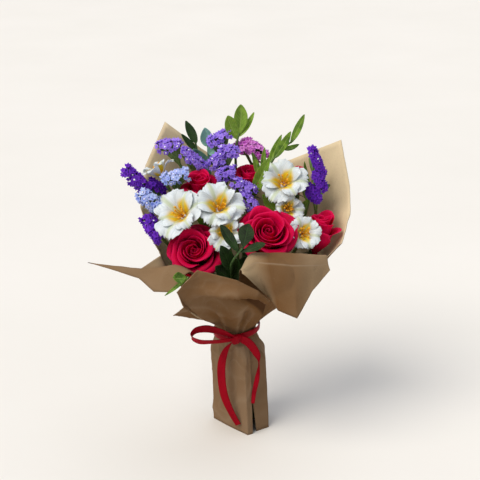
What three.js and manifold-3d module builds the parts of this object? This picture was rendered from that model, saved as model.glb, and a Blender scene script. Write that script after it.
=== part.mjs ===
// A hand-tied mixed bouquet, standing on its cut stem ends and paper sleeve.
// Six red roses, two stems of white alstroemeria, eight sprays of statice and seven leafy
// sprigs meet in one bundle of stems. Three sheets of kraft paper wrap them, and a red
// ribbon ties the neck. X is to the right, Y away from the viewer and Z up, in millimetres,
// with the origin at the middle of the foot.
import * as THREE from "three";
import { mergeVertices } from "three/addons/utils/BufferGeometryUtils.js";
import Module from "manifold-3d";

const wasm = await Module();
wasm.setup();

// The bundle: its stems stand side by side, tied at one height, a little left of the foot.
const TIE_HEIGHT = 121;
const TIE_SHIFT = -7;
const STEM_PITCH = 6;
const STEM_GAP = 0.4;
const FOOT_SPREAD = 1.04;

// The stems' radii above the bundle, and how thick petals and leaves are.
const ROSE_STEM = 2.6;
const ALSTROEMERIA_STEM = 2.5;
const STATICE_STEM = 1.9;
const SPRIG_STEM = 1.6;
const PETAL = 0.8;
const TEPAL = 0.7;
const LEAF = 0.7;

// How far before its end each kind of stem takes the direction that it ends in.
const ROSE_BEND = 20;
const PEDICEL_BEND = 14;
const FORK_BEND = 30;
const SPRIG_BEND = 22;

// A bloom's foot lies below its middle by this share of its height or radius, and stands this
// far above its calyx. A rose's stem runs into the calyx, and its leaves leave it lower down.
const ROSE_SEAT = 0.55;
const ALSTROEMERIA_SEAT = 0.6;
const SEAT_GAP = 0.3;
const CALYX_REACH = 12;
const CALYX_WAIST = 3.8;
const CALYX_DEPTH = 3;
const ROSE_NODE = 8;

// Statice florets stand this far apart along a head, their cups stick out this far from its
// core, and the core goes on this far past the end florets.
const FLORET_PITCH = 8;
const FLORET_REACH = 9.5;
const FLORET_FOOT = 3.2;
const HEAD_OVERHANG = 4;

// Details smaller than this are dropped.
const MERGE = 0.1;

// The paper: one thickness, three layers at the neck, and a sleeve with folded corners.
const PAPER = 0.8;
const NECK_HALF = 6;
const SLEEVE_TOP = 93;
const SLEEVE_LEAN = -3;
const SLEEVE_ROUNDING = 0.15;
const PLEAT_VALLEY = 19.8;
const PLEAT_PEAK = 22.6;
const BACK_FULLNESS = 2.5;
const FLAP_NECK = 24.2;
const FRONT_NECK = 25.4;
const FLARE_STATIONS = [0.35, 0.7];
const SLEEVE_CORNERS = [
  [-37, 2],
  [6, -38],
  [31, -21],
  [31, 14],
  [-11, 28],
];

// The ribbon: a satin strip, wound on a slant round the neck.
const RIBBON = 0.8;
const RIBBON_WIDTH = 7;
const RIBBON_RADIUS = 26.7;
const RIBBON_SLANT = 0.15;
const RIBBON_STEPS = 20;
const KNOT = [-7, -31, 120];
const KNOT_RADIUS = 5.5;

const COLOURS = {
  rose: 0xa8001f,
  white: 0xf1f2ee,
  green: 0x4d7a2c,
  darkGreen: 0x2c4a24,
  blueGreen: 0x5b8c74,
  lavender: 0x7a5bd0,
  violet: 0x4a1fb4,
  paleBlue: 0x8fa4e8,
  pink: 0xd05fd0,
  kraft: 0xb8925f,
  ribbon: 0xa80a20,
};

// Each rose: the middle of its bloom, the way it faces, its size, the petals in each ring,
// and the tip and width of each leaf below it.
const ROSES = [
  {
    at: [-52, -48, 238],
    faces: [-0.2, -0.8, 0.57],
    radius: 29,
    height: 38,
    rings: [3, 4, 5],
    leaves: [{ tip: [-15, -60, 238], width: 14 }],
  },
  {
    at: [27, -50, 258],
    faces: [0.1, -0.75, 0.66],
    radius: 33,
    height: 42,
    rings: [3, 4, 5],
    leaves: [
      { tip: [-3, -64, 241], width: 14 },
      { tip: [54, -62, 232], width: 13 },
    ],
  },
  {
    at: [90, -18, 245],
    faces: [0.35, -0.3, 0.87],
    radius: 20,
    height: 42,
    rings: [3, 4],
    leaves: [{ tip: [74, -44, 234], width: 13 }],
  },
  { at: [-48, 0, 298], faces: [-0.1, -0.3, 0.95], radius: 19, height: 38, rings: [3, 4], leaves: [] },
  { at: [7, 21, 299], faces: [0, -0.2, 0.98], radius: 17, height: 36, rings: [3, 3], leaves: [] },
  { at: [64, 27, 295], faces: [0.15, 0.1, 0.98], radius: 12, height: 30, rings: [3], leaves: [] },
];

// Each alstroemeria stem: where it forks, and the blooms that it carries.
const ALSTROEMERIAS = [
  {
    fork: [-38, 4, 208],
    blooms: [
      { at: [-69, -40, 276], faces: [-0.35, -0.72, 0.6], radius: 27 },
      { at: [-20, -36, 292], faces: [0.05, -0.7, 0.71], radius: 25 },
      { at: [-22, -48, 261], faces: [0.05, -0.9, 0.42], radius: 19 },
      { at: [-98, 5, 314], faces: [-0.35, -0.25, 0.9], radius: 13 },
    ],
  },
  {
    fork: [40, -12, 208],
    blooms: [
      { at: [46, -8, 307], faces: [0, -0.75, 0.66], radius: 27 },
      { at: [66, -14, 278], faces: [0.5, -0.7, 0.5], radius: 14 },
      { at: [71, -42, 256], faces: [0.25, -0.85, 0.45], radius: 18 },
    ],
  },
];

// Each statice spray: where it forks, and both ends of each head of florets.
const STATICES = [
  {
    colour: "lavender",
    fork: [-52, 20, 283],
    heads: [
      [[-90, 22, 338], [-71, 20, 342]],
      [[-64, 19, 337], [-54, 22, 327]],
    ],
  },
  {
    colour: "lavender",
    fork: [-20, 20, 283],
    heads: [
      [[-35, 27, 337], [-21, 28, 345]],
      [[-28, 16, 317], [-18, 16, 326]],
      [[-13, 12, 333], [-4, 12, 333]],
      [[-22, 5, 306], [-15, 4, 309]],
    ],
  },
  {
    colour: "lavender",
    fork: [2, -8, 248],
    heads: [
      [[-4, -5, 296], [8, -5, 291]],
      [[0, -22, 280], [11, -20, 273]],
    ],
  },
  {
    colour: "violet",
    fork: [-88, -6, 263],
    heads: [
      [[-133, -10, 319], [-115, -9, 299]],
      [[-106, -2, 299], [-98, 0, 293]],
    ],
  },
  {
    colour: "paleBlue",
    fork: [-74, -4, 268],
    heads: [
      [[-82, -10, 306], [-66, -12, 311]],
      [[-113, -22, 292], [-102, -24, 283]],
    ],
  },
  {
    colour: "violet",
    fork: [-82, -20, 233],
    heads: [
      [[-106, -27, 265], [-100, -29, 257]],
      [[-103, -42, 255], [-96, -44, 247]],
    ],
  },
  {
    colour: "violet",
    fork: [84, 6, 265],
    heads: [
      [[76, 2, 337], [84, 0, 321]],
      [[87, -2, 315], [92, -4, 297]],
      [[81, -5, 297], [85, -8, 289]],
    ],
  },
  {
    colour: "pink",
    fork: [12, 46, 308],
    heads: [
      [[3, 36, 335], [11, 36, 342]],
      [[16, 36, 340], [26, 36, 330]],
    ],
  },
];

// Each leafy sprig: the points its stem passes through, and the base, tip and width of each leaf.
const SPRIGS = [
  {
    name: "ruscus_sprig_top",
    colour: "green",
    stem: [[-8, 40, 311], [-8, 30, 331], [-4, 27, 351]],
    leaves: [
      { base: [-4, 27, 349], tip: [-2, 26, 384], width: 14 },
      { base: [-6, 28, 343], tip: [-17, 22, 372], width: 14 },
      { base: [-5, 27, 346], tip: [13, 30, 374], width: 7 },
    ],
  },
  {
    name: "willow_sprig_right",
    colour: "green",
    stem: [[14, 6, 286], [27, 12, 313], [43, 14, 333], [58, 13, 347]],
    leaves: [
      { base: [57, 13, 345], tip: [68, 12, 374], width: 8 },
      { base: [38, 13, 327], tip: [54, 6, 358], width: 10 },
      { base: [29, 12, 315], tip: [44, 18, 351], width: 8 },
      { base: [46, 13, 335], tip: [64, 20, 339], width: 6 },
      { base: [15, 5, 289], tip: [26, -2, 335], width: 10 },
    ],
  },
  {
    name: "leaf_sprig_back",
    colour: "darkGreen",
    stem: [[-50, 36, 293], [-52, 34, 323], [-54, 33, 338]],
    leaves: [
      { base: [-53, 33, 337], tip: [-65, 34, 363], width: 10 },
      { base: [-52, 34, 327], tip: [-70, 32, 348], width: 7 },
    ],
  },
  {
    name: "eucalyptus_sprig",
    colour: "blueGreen",
    stem: [[-36, 40, 283], [-39, 40, 313], [-40, 38, 333]],
    leaves: [
      { base: [-40, 38, 332], tip: [-43, 34, 355], width: 14 },
      { base: [-38, 40, 311], tip: [-24, 46, 329], width: 14 },
      { base: [-39, 40, 298], tip: [-60, 44, 311], width: 13 },
    ],
  },
  {
    name: "leaf_sprig_front",
    colour: "darkGreen",
    stem: [[-12, -62, 205], [-12, -80, 233], [0, -90, 255]],
    leaves: [
      { base: [0, -90, 254], tip: [6, -98, 285], width: 17 },
      { base: [-4, -87, 248], tip: [-24, -90, 281], width: 11 },
      { base: [-3, -88, 249], tip: [22, -100, 271], width: 7 },
      { base: [-12, -72, 221], tip: [-24, -84, 255], width: 12 },
    ],
  },
  {
    name: "leaf_sprig_low",
    colour: "green",
    stem: [[-38, -58, 183], [-52, -84, 209], [-60, -92, 221]],
    leaves: [
      { base: [-60, -92, 220], tip: [-76, -102, 224], width: 10 },
      { base: [-59, -91, 221], tip: [-84, -107, 206], width: 5 },
    ],
  },
  {
    name: "leaf_sprig_right",
    colour: "green",
    stem: [[70, 14, 248], [78, 18, 278], [82, 20, 293]],
    leaves: [
      { base: [82, 20, 292], tip: [90, 22, 315], width: 12 },
      { base: [78, 18, 279], tip: [100, 14, 293], width: 11 },
    ],
  },
];

const vec = (x, y, z) => new THREE.Vector3(x, y, z);
const point = (xyz) => vec(...xyz);
const UP = vec(0, 0, 1);
const TO_VIEWER = vec(0, -0.8, 0.6);
const radians = THREE.MathUtils.degToRad;
const bouquet = new THREE.Group();

// The geometry of a closed skin, from its points and its triangles.
function skin(points, faces) {
  const positions = new Float32Array(points.flatMap((p) => [p.x, p.y, p.z]));
  const geometry = new THREE.BufferGeometry();
  geometry.setAttribute("position", new THREE.BufferAttribute(positions, 3));
  geometry.setIndex(faces);
  return geometry;
}

// A closed geometry as a solid, whichever way round its faces were made.
function solid(geometry) {
  const bare = geometry.clone();
  bare.deleteAttribute("normal");
  bare.deleteAttribute("uv");
  const merged = mergeVertices(bare, 1e-4);
  const corners = merged.index.array;
  const forward = [];
  const backward = [];
  for (let i = 0; i < corners.length; i += 3) {
    const [a, b, c] = corners.slice(i, i + 3);
    if (a !== b && b !== c && c !== a) {
      forward.push(a, b, c);
      backward.push(a, c, b);
    }
  }
  const made = (triangles) =>
    new wasm.Manifold(
      new wasm.Mesh({
        numProp: 3,
        vertProperties: merged.attributes.position.array,
        triVerts: new Uint32Array(triangles),
      }),
    );
  const first = made(forward);
  return first.volume() > 0 ? first : made(backward);
}

// Several geometries fused into one solid.
function fuse(geometries) {
  return wasm.Manifold.union(geometries.map(solid));
}

// Adds a solid to the bouquet as a named mesh, and keeps its largest body.
function place(name, made, colour, roughness = 0.6) {
  const bodies = made.decompose().sort((a, b) => b.volume() - a.volume());
  const mesh = bodies[0].simplify(MERGE).getMesh();
  const geometry = new THREE.BufferGeometry();
  geometry.setAttribute("position", new THREE.BufferAttribute(mesh.vertProperties, 3));
  geometry.setIndex(new THREE.BufferAttribute(mesh.triVerts, 1));
  geometry.computeVertexNormals();
  const material = new THREE.MeshStandardMaterial({ color: COLOURS[colour], roughness, metalness: 0 });
  const node = new THREE.Mesh(geometry, material);
  node.name = name;
  bouquet.add(node);
  return node;
}

// Joins rings of equal point count into one closed skin, with a flat fan at each end.
function loft(rings) {
  const count = rings[0].length;
  const last = (rings.length - 1) * count;
  const faces = [];
  for (let start = 0; start < last; start += count) {
    for (let k = 0; k < count; k++) {
      const a = start + k;
      const b = start + ((k + 1) % count);
      faces.push(a, b, b + count, a, b + count, a + count);
    }
  }
  for (let k = 1; k + 1 < count; k++) {
    faces.push(0, k + 1, k, last, last + k, last + k + 1);
  }
  return skin(rings.flat(), faces);
}

// A tube through the given points with a radius at each, turned as little as it can be.
// Its first rings lie level as far as asked, and its last one can be square to a direction.
function tube(points, radii, { sides = 6, level = 0, end = null } = {}) {
  const along = points.map((p, i) => {
    const before = points[Math.max(i - 1, 0)];
    const after = points[Math.min(i + 1, points.length - 1)];
    return i < level ? UP.clone() : after.clone().sub(before).normalize();
  });
  if (end) {
    along[along.length - 1] = end.clone();
  }
  const across = Math.abs(along[0].x) > 0.9 ? vec(0, 1, 0) : vec(1, 0, 0);
  const rings = points.map((p, i) => {
    across.addScaledVector(along[i], -across.dot(along[i])).normalize();
    const third = along[i].clone().cross(across);
    return Array.from({ length: sides }, (_, k) => {
      const angle = ((k + 0.5) / sides) * 2 * Math.PI;
      return p
        .clone()
        .addScaledVector(across, radii[i] * Math.cos(angle))
        .addScaledVector(third, radii[i] * Math.sin(angle));
    });
  });
  return loft(rings);
}

// A thin sheet with its middle at the given rows of points. Both of its faces are split into
// triangles alike, so that they never cross.
function sheet(rows, thickness) {
  const [across, along] = [rows[0].length - 1, rows.length - 1];
  const near = (j, i) => rows[THREE.MathUtils.clamp(j, 0, along)][THREE.MathUtils.clamp(i, 0, across)];
  const normal = (j, i) => {
    const sideways = near(j, i + 1).clone().sub(near(j, i - 1));
    const upwards = near(j + 1, i).clone().sub(near(j - 1, i));
    return sideways.cross(upwards).normalize();
  };
  const face = (side) =>
    rows.flatMap((row, j) =>
      row.map((p, i) => p.clone().addScaledVector(normal(j, i), (side * thickness) / 2)),
    );
  const under = (across + 1) * (along + 1);
  const at = (j, i) => j * (across + 1) + i;
  const faces = [];
  const wall = (a, b) => faces.push(a, a + under, b + under, a, b + under, b);
  for (let j = 0; j < along; j++) {
    for (let i = 0; i < across; i++) {
      const [a, b, c, d] = [at(j, i), at(j, i + 1), at(j + 1, i + 1), at(j + 1, i)];
      faces.push(a, b, c, a, c, d);
      faces.push(a + under, c + under, b + under, a + under, d + under, c + under);
    }
    wall(at(j + 1, 0), at(j, 0));
    wall(at(j, across), at(j + 1, across));
  }
  for (let i = 0; i < across; i++) {
    wall(at(0, i), at(0, i + 1));
    wall(at(along, i + 1), at(along, i));
  }
  return skin([...face(1), ...face(-1)], faces);
}

// A sheet that follows surface(u, v), with u from -1 to 1 across it and v from 0 to 1 along it.
function blade(surface, across, along, thickness) {
  const rows = Array.from({ length: along + 1 }, (_, j) =>
    Array.from({ length: across + 1 }, (_, i) => surface(-1 + (2 * i) / across, j / along)),
  );
  return sheet(rows, thickness);
}

// A point at an angle and radius round the Z axis.
function polar(angle, radius, z) {
  return vec(radius * Math.cos(angle), radius * Math.sin(angle), z);
}

// The bundle's slots are the hexagon lattice points nearest to its middle. The odd ones of
// the last ring stand at the back right, where the sleeve is roomiest.
function bundleSlots(count) {
  const roomy = new THREE.Vector2(0.3, 0.6);
  const slots = [];
  for (let row = -6; row <= 6; row++) {
    for (let column = -6; column <= 6; column++) {
      const x = STEM_PITCH * (column + row / 2);
      const y = STEM_PITCH * row * Math.sin(Math.PI / 3);
      slots.push(new THREE.Vector2(x, y));
    }
  }
  return slots.sort((a, b) => a.distanceTo(roomy) - b.distanceTo(roomy)).slice(0, count);
}

// Gives each stem a slot so that no two cross on the way up: the one that leans further
// to a side stands further to that side.
function assignSlots(stems) {
  const slots = bundleSlots(stems.length);
  const leans = stems.map(({ aim }) =>
    new THREE.Vector2(aim.x - TIE_SHIFT, aim.y).divideScalar(aim.z - TIE_HEIGHT),
  );
  let swapped = true;
  while (swapped) {
    swapped = false;
    for (let i = 0; i < stems.length; i++) {
      for (let j = i + 1; j < stems.length; j++) {
        const apart = slots[i].clone().sub(slots[j]);
        if (apart.dot(leans[i].clone().sub(leans[j])) < -1e-9) {
          [slots[i], slots[j]] = [slots[j], slots[i]];
          swapped = true;
        }
      }
    }
  }
  return slots;
}

// A stem's tube: up through the bundle, then one smooth curve to where it is heading, and
// on through the points beyond, each thinner than the last.
function stemTube({ aim, approach, radius, beyond = [] }, slot) {
  const foot = vec(slot.x * FOOT_SPREAD, slot.y * FOOT_SPREAD, 0);
  const tie = vec(slot.x + TIE_SHIFT, slot.y, TIE_HEIGHT + 0.8 * NECK_HALF);
  const leave = tie.clone().lerp(approach, 0.14).setZ(tie.z + 0.4 * (approach.z - tie.z));
  const curve = new THREE.CubicBezierCurve3(tie, leave, approach, aim);
  const points = [foot, ...curve.getPoints(4), ...beyond];
  const bundled = (STEM_PITCH - STEM_GAP) / Math.sqrt(3);
  const radii = [bundled, bundled, ...Array(4).fill(radius)];
  beyond.forEach(() => radii.push(0.85 * radii[radii.length - 1]));
  return tube(points, radii, { level: 2 });
}

// A leaf-shaped blade from base to tip, folded along its rib, arched and turned to the viewer.
function leaf({ base, tip, width }) {
  const from = point(base);
  const rib = point(tip).sub(from);
  const side = rib.clone().cross(TO_VIEWER).normalize();
  const lifted = side.clone().cross(rib).normalize();
  const surface = (u, v) => {
    const spread = 0.16 + 0.84 * Math.sin(Math.PI * Math.min(v, 1) ** 0.85) ** 0.8;
    const fold = 0.18 * width * Math.abs(u) * spread;
    return from
      .clone()
      .addScaledVector(rib, v)
      .addScaledVector(side, 0.5 * u * width * spread)
      .addScaledVector(lifted, fold - 0.08 * rib.length() * Math.sin(Math.PI * v));
  };
  return blade(surface, width < 9 ? 1 : 2, 3, LEAF);
}

// One rose petal in the bloom's own frame: it rises from the base, leans out and curls.
function rosePetal({ start, spread, reach, height, flare, curl, across }) {
  const surface = (u, v) => {
    const lift = v * (1 - 0.12 * u * u);
    const swell = Math.sin((lift * Math.PI) / 2);
    const angle = start + u * spread * (0.45 + 0.55 * swell);
    const radius = 2.5 + (reach - 2.5) * swell ** 0.8 + 0.1 * reach * u * swell + flare * lift ** 4;
    return polar(angle, radius, 1 + height * (lift - curl * lift ** 4));
  };
  return blade(surface, across, 2, PETAL);
}

// A rose bloom: a closed bud with rings of petals round it, on a flat base. The middle ring,
// which the others hide best, has the fewest faces.
function roseBloom({ radius, height, rings }) {
  const bud = new THREE.LatheGeometry(
    [
      new THREE.Vector2(0, 0),
      new THREE.Vector2(4.5, 0),
      new THREE.Vector2(0.22 * radius + 2, 0.25 * height),
      new THREE.Vector2(0.28 * radius, 0.6 * height),
      new THREE.Vector2(0.16 * radius, 0.9 * height),
      new THREE.Vector2(0, 0.93 * height),
    ],
    6,
  ).rotateX(Math.PI / 2);
  const pieces = [bud];
  rings.forEach((petals, ring) => {
    const outward = (ring + 1) / rings.length;
    for (let k = 0; k < petals; k++) {
      pieces.push(
        rosePetal({
          start: ((k + 0.37 * ring) / petals) * 2 * Math.PI,
          spread: radians(212 / petals),
          reach: radius * (0.22 + 0.64 * outward),
          height: height * (1.04 - 0.24 * outward * outward),
          flare: 0.14 * radius * outward,
          curl: 0.16 * outward,
          across: ring === 1 ? 2 : 3,
        }),
      );
    }
  });
  return fuse(pieces);
}

// The calyx that a bloom sits in: a star of five short sepals with a cone below it.
function calyx(seat, faces) {
  const turn = new THREE.Quaternion().setFromUnitVectors(UP, faces);
  const ring = (reach, waist, z) =>
    Array.from({ length: 10 }, (_, k) => {
      const [radius, drop] = k % 2 ? [waist, 0] : [reach, 0.3 * (reach - waist)];
      return polar((k / 10) * 2 * Math.PI, radius, z - drop).applyQuaternion(turn).add(seat);
    });
  return loft([
    ring(1.8, 1.8, -9),
    ring(CALYX_REACH, CALYX_WAIST, -2.4),
    ring(CALYX_REACH, CALYX_WAIST, -1.5),
    ring(4, 4, -SEAT_GAP),
  ]);
}

// One alstroemeria tepal: it leaves the throat and flares out into a broad blade.
function tepal(angle, radius, length, width, across) {
  const side = vec(-Math.sin(angle), Math.cos(angle), 0);
  const surface = (u, v) => {
    const spread = 0.16 + 0.84 * Math.sin(Math.PI * 0.78 * v);
    const height = length * (0.22 + 0.78 * Math.sin((v * Math.PI) / 2));
    return polar(angle, 3 + (radius - 3) * v ** 1.25 - 0.06 * radius * u * u * v, height)
      .addScaledVector(side, u * width * spread);
  };
  return blade(surface, across, 2, TEPAL);
}

// An alstroemeria bloom: a throat, three outer and three inner tepals, and six stamens.
function alstroemeriaBloom({ radius }) {
  const length = 0.95 * radius;
  const large = radius > 15;
  const pieces = [tube([vec(0, 0, 0), vec(0, 0, 0.3 * length)], [2.6, 4.2])];
  for (let k = 0; k < 6; k++) {
    const angle = (k / 6) * 2 * Math.PI;
    const outer = k % 2 === 0;
    const width = radius * (outer ? 0.46 : 0.28);
    const reach = radius * (outer ? 1 : 0.78);
    pieces.push(tepal(angle, reach, length * (outer ? 1 : 1.15), width, outer && large ? 2 : 1));
    if (large) {
      const bend = angle + 0.5;
      const stamen = [0.2, 0.85].map((t) => polar(bend, 1 + 0.28 * radius * t, length * t));
      pieces.push(tube(stamen, [0.7, 1.2], { sides: 3 }));
    }
  }
  return fuse(pieces);
}

// One statice head: a core from end to end, and rows of papery cups on its upper side.
function staticeHead([from, to], fork) {
  const [a, b] = [point(from), point(to)];
  const middle = a.clone().lerp(b, 0.5);
  const axis = b.clone().sub(a).normalize();
  const up = middle.clone().sub(fork).normalize().add(vec(0, -0.5, 0.2));
  up.addScaledVector(axis, -up.dot(axis)).normalize();
  const side = axis.clone().cross(up);
  const ends = [
    a.clone().addScaledVector(axis, -HEAD_OVERHANG),
    b.clone().addScaledVector(axis, HEAD_OVERHANG),
  ];
  const core = tube([ends[0], middle, ends[1]], [3.4, 5, 3.4], { sides: 5 });
  const branch = tube([fork, middle], [1.6, 2.6], { sides: 3 });
  const cups = [];
  const columns = Math.max(2, Math.round(a.distanceTo(b) / FLORET_PITCH) + 1);
  for (let i = 0; i < columns; i++) {
    for (const row of [-1, 0, 1]) {
      const share = (i + (row === 0 ? 0.5 : 0)) / (columns - 0.5);
      const seat = ends[0].clone().lerp(ends[1], share);
      const out = up.clone().addScaledVector(side, 1.3 * row).normalize();
      out.addScaledVector(axis, 0.8 * (share - 0.5)).normalize();
      const lip = seat.clone().addScaledVector(out, FLORET_REACH);
      cups.push(tube([seat.addScaledVector(out, FLORET_FOOT), lip], [1.6, 4.4], { sides: 3 }));
    }
  }
  return [core, branch, ...cups];
}

// Where paper at this angle runs on the foot's outline, which is straight between its corners.
function footOutline(angle) {
  const heading = new THREE.Vector2(Math.cos(angle), Math.sin(angle));
  for (let k = 0; k < SLEEVE_CORNERS.length; k++) {
    const a = new THREE.Vector2(...SLEEVE_CORNERS[k]);
    const b = new THREE.Vector2(...SLEEVE_CORNERS[(k + 1) % SLEEVE_CORNERS.length]);
    const edge = b.clone().sub(a);
    if (a.cross(heading) >= 0 && heading.cross(b) >= 0) {
      return heading.multiplyScalar(a.cross(edge) / heading.cross(edge));
    }
  }
  throw new Error("the foot's corners don't go once round it");
}

// A point of the sleeve: the folded outline at the foot, fuller towards the top, and drawn
// in to a round neck at the tie.
function sleevePoint(angle, z, neckRadius, layer) {
  const neck = polar(angle, neckRadius, z).add(vec(TIE_SHIFT, 0, 0));
  if (z > SLEEVE_TOP) {
    return neck;
  }
  const outline = footOutline(angle);
  outline.setLength(outline.length() + layer);
  const foot = vec(outline.x, outline.y, z);
  const rise = z / SLEEVE_TOP;
  return foot.lerp(neck, SLEEVE_ROUNDING * rise).add(vec(SLEEVE_LEAN * rise, 0, 0));
}

// The pleated neck of the back sheet, in and out by turns from one column of its mesh to
// the next, and fuller at the back where no other sheet covers it.
function pleatedNeck(angle, column) {
  const back = (0.5 + 0.5 * Math.sin(angle)) ** 2;
  return column % 2 === 0 ? PLEAT_VALLEY : PLEAT_PEAK + BACK_FULLNESS * back;
}

// A value between the folds of a sheet, read from the two folds that it lies between.
function between(folds, place, read) {
  const index = Math.min(Math.floor(place), folds.length - 2);
  return THREE.MathUtils.lerp(read(folds[index]), read(folds[index + 1]), place - index);
}

// The point that a sheet's folds pass at one of their stations: on a smooth line inside the
// sheet, and on a straight one from fold to fold along its free edge.
function stationPoint(folds, place, station, atEdge) {
  const points = folds.map((fold) => point(fold.through[station]));
  if (atEdge) {
    const index = Math.min(Math.floor(place), points.length - 2);
    return points[index].clone().lerp(points[index + 1], place - index);
  }
  const smooth = new THREE.CatmullRomCurve3(points, false, "centripetal");
  return smooth.getPoint(place / (points.length - 1));
}

// The columns of a sheet's mesh, as places among its folds: one or more from fold to fold.
function meshColumns(folds) {
  const places = [0];
  folds.slice(1).forEach((fold, k) => {
    const cells = fold.cells ?? 2;
    for (let i = 1; i <= cells; i++) {
      places.push(k + i / cells);
    }
  });
  return places;
}

// A sheet of kraft paper: each fold climbs the sleeve and the neck, then flares to the rim.
// The rows of its mesh are given as the number in each stretch from station to station.
function paperSheet({ folds, lowest, neckRadius, layer, stretches }) {
  const heights = [0, SLEEVE_TOP, TIE_HEIGHT - NECK_HALF, TIE_HEIGHT + NECK_HALF];
  const stations = folds[0].through.length;
  const columns = meshColumns(folds).map((place, column) => {
    const footAngle = radians(between(folds, place, (fold) => fold.foot));
    const topAngle = radians(between(folds, place, (fold) => fold.top));
    const neckAngle = radians(between(folds, place, (fold) => fold.neck));
    const points = heights
      .filter((z) => z >= lowest)
      .map((z) => {
        const sleeveAngle = THREE.MathUtils.lerp(footAngle, topAngle, z / SLEEVE_TOP);
        const angle = z > SLEEVE_TOP ? neckAngle : sleeveAngle;
        return sleevePoint(angle, z, neckRadius(neckAngle, column), layer);
      });
    for (let k = 0; k < stations; k++) {
      points.push(stationPoint(folds, place, k, k === stations - 1));
    }
    const curve = new THREE.CatmullRomCurve3(points, false, "centripetal");
    const climbed = stretches.flatMap((rows, k) =>
      Array.from({ length: rows }, (_, i) => curve.getPoint((k + (i + 1) / rows) / stretches.length)),
    );
    return [points[0], ...climbed];
  });
  const rows = columns[0].map((_, j) => columns.map((column) => column[j]));
  return sheet(rows, PAPER);
}

// A fold of paper that flares from the neck to the rim, with a gentle outward belly. Its
// angles are those at the neck, at the sleeve's top and at the foot.
function flare(neck, rim, { belly = 5, foot = neck, top = foot } = {}) {
  const start = polar(radians(neck), PLEAT_PEAK, TIE_HEIGHT + NECK_HALF).add(vec(TIE_SHIFT, 0, 0));
  const out = polar(radians(neck), belly, -0.6 * belly);
  const stations = FLARE_STATIONS.map((share) =>
    start.clone().lerp(point(rim), share).add(out).toArray(),
  );
  return { neck, top, foot, through: [...stations, rim] };
}

// A fold whose three stations above the neck are given, such as a collar that climbs to a
// crest and turns outward from there, or the flap that rolls over and hangs.
function turned(neck, low, middle, end, { foot = neck, cells = 2 } = {}) {
  return { neck, top: foot, foot, through: [low, middle, end], cells };
}

const BACK_SHEET = {
  lowest: 0,
  neckRadius: pleatedNeck,
  layer: 0,
  stretches: [1, 1, 1, 2, 2, 2],
  folds: [
    turned(228, [-43, -57, 183], [-58, -85, 225], [-78, -90, 203]),
    turned(222, [-51, -50, 183], [-69, -77, 228], [-97, -84, 201], { cells: 1 }),
    turned(217, [-56, -44, 184], [-78, -70, 226], [-114, -72, 212], { cells: 1 }),
    turned(212, [-60, -38, 185], [-85, -61, 225], [-171, -60, 227], { cells: 1 }),
    turned(207, [-63, -32, 185], [-90, -52, 225], [-115, -50, 213], { cells: 1 }),
    turned(200, [-66, -24, 186], [-90, -42, 228], [-92, -48, 231], { cells: 1 }),
    flare(186, [-104, -18, 242]),
    flare(174, [-116, 2, 271], { foot: 176.9 }),
    flare(160, [-111, 25, 313]),
    flare(142, [-89, 45, 359]),
    flare(120, [-50, 58, 325], { foot: 126 }),
    flare(96, [-5, 62, 294], { foot: 111.4 }),
    flare(72, [56, 58, 310], { foot: 75 }),
    flare(48, [113, 40, 339]),
    flare(26, [122, 15, 292], { foot: 24.3 }),
    flare(8, [122, -8, 264]),
    flare(-12, [112, -28, 237], { belly: 3 }),
    flare(-36, [92, -50, 228], { belly: 0, foot: -34.1 }),
    flare(-76, [50, -60, 219], { belly: -3, foot: -62, top: -74 }),
  ],
};

const FRONT_SHEET = {
  lowest: 0,
  neckRadius: () => FRONT_NECK,
  layer: 2.7,
  stretches: [1, 1, 1, 2, 2, 2],
  folds: [
    flare(178, [-77, -76, 170], { belly: 0, foot: 170 }),
    flare(187, [-65, -84, 183], { belly: 2, foot: 176.9 }),
    flare(214, [-72, -97, 206], { belly: 4, foot: 203 }),
    turned(238, [-31, -54, 165], [-44, -86, 197], [-49, -98, 232], { foot: 228 }),
    turned(262, [-8, -60, 163], [-7, -93, 189], [-6, -103, 222], { foot: 258 }),
    turned(282, [5, -56, 163], [12, -86, 183], [16, -98, 209], { foot: 279 }),
    flare(300, [29, -87, 192], { belly: 6, foot: 288, top: 291 }),
  ],
};

const FLAP_SHEET = {
  lowest: TIE_HEIGHT - NECK_HALF,
  neckRadius: () => FLAP_NECK,
  layer: 0,
  stretches: [1, 2, 3, 2],
  folds: [
    turned(258, [-4, -76, 215], [-3, -88, 229], [0, -92, 226]),
    turned(272, [8, -76, 215], [8, -93, 250], [27, -80, 194]),
    turned(286, [18, -72, 209], [27, -95, 252], [39, -93, 183]),
    turned(300, [34, -70, 205], [52, -89, 247], [59, -99, 176]),
    turned(315, [50, -65, 202], [73, -76, 242], [79, -88, 205]),
    turned(331, [63, -56, 197], [91, -61, 237], [97, -69, 225]),
  ],
};

// A strip of ribbon along a path, its width lying along a side direction at each point.
function strip(stations, along) {
  const path = new THREE.CatmullRomCurve3(stations.map((s) => point(s.at)), false, "centripetal");
  const sides = new THREE.CatmullRomCurve3(stations.map((s) => point(s.side)), false, "centripetal");
  const surface = (u, v) => path.getPoint(v).addScaledVector(sides.getPoint(v), u / 2);
  return blade(surface, 1, along, RIBBON);
}

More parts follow.
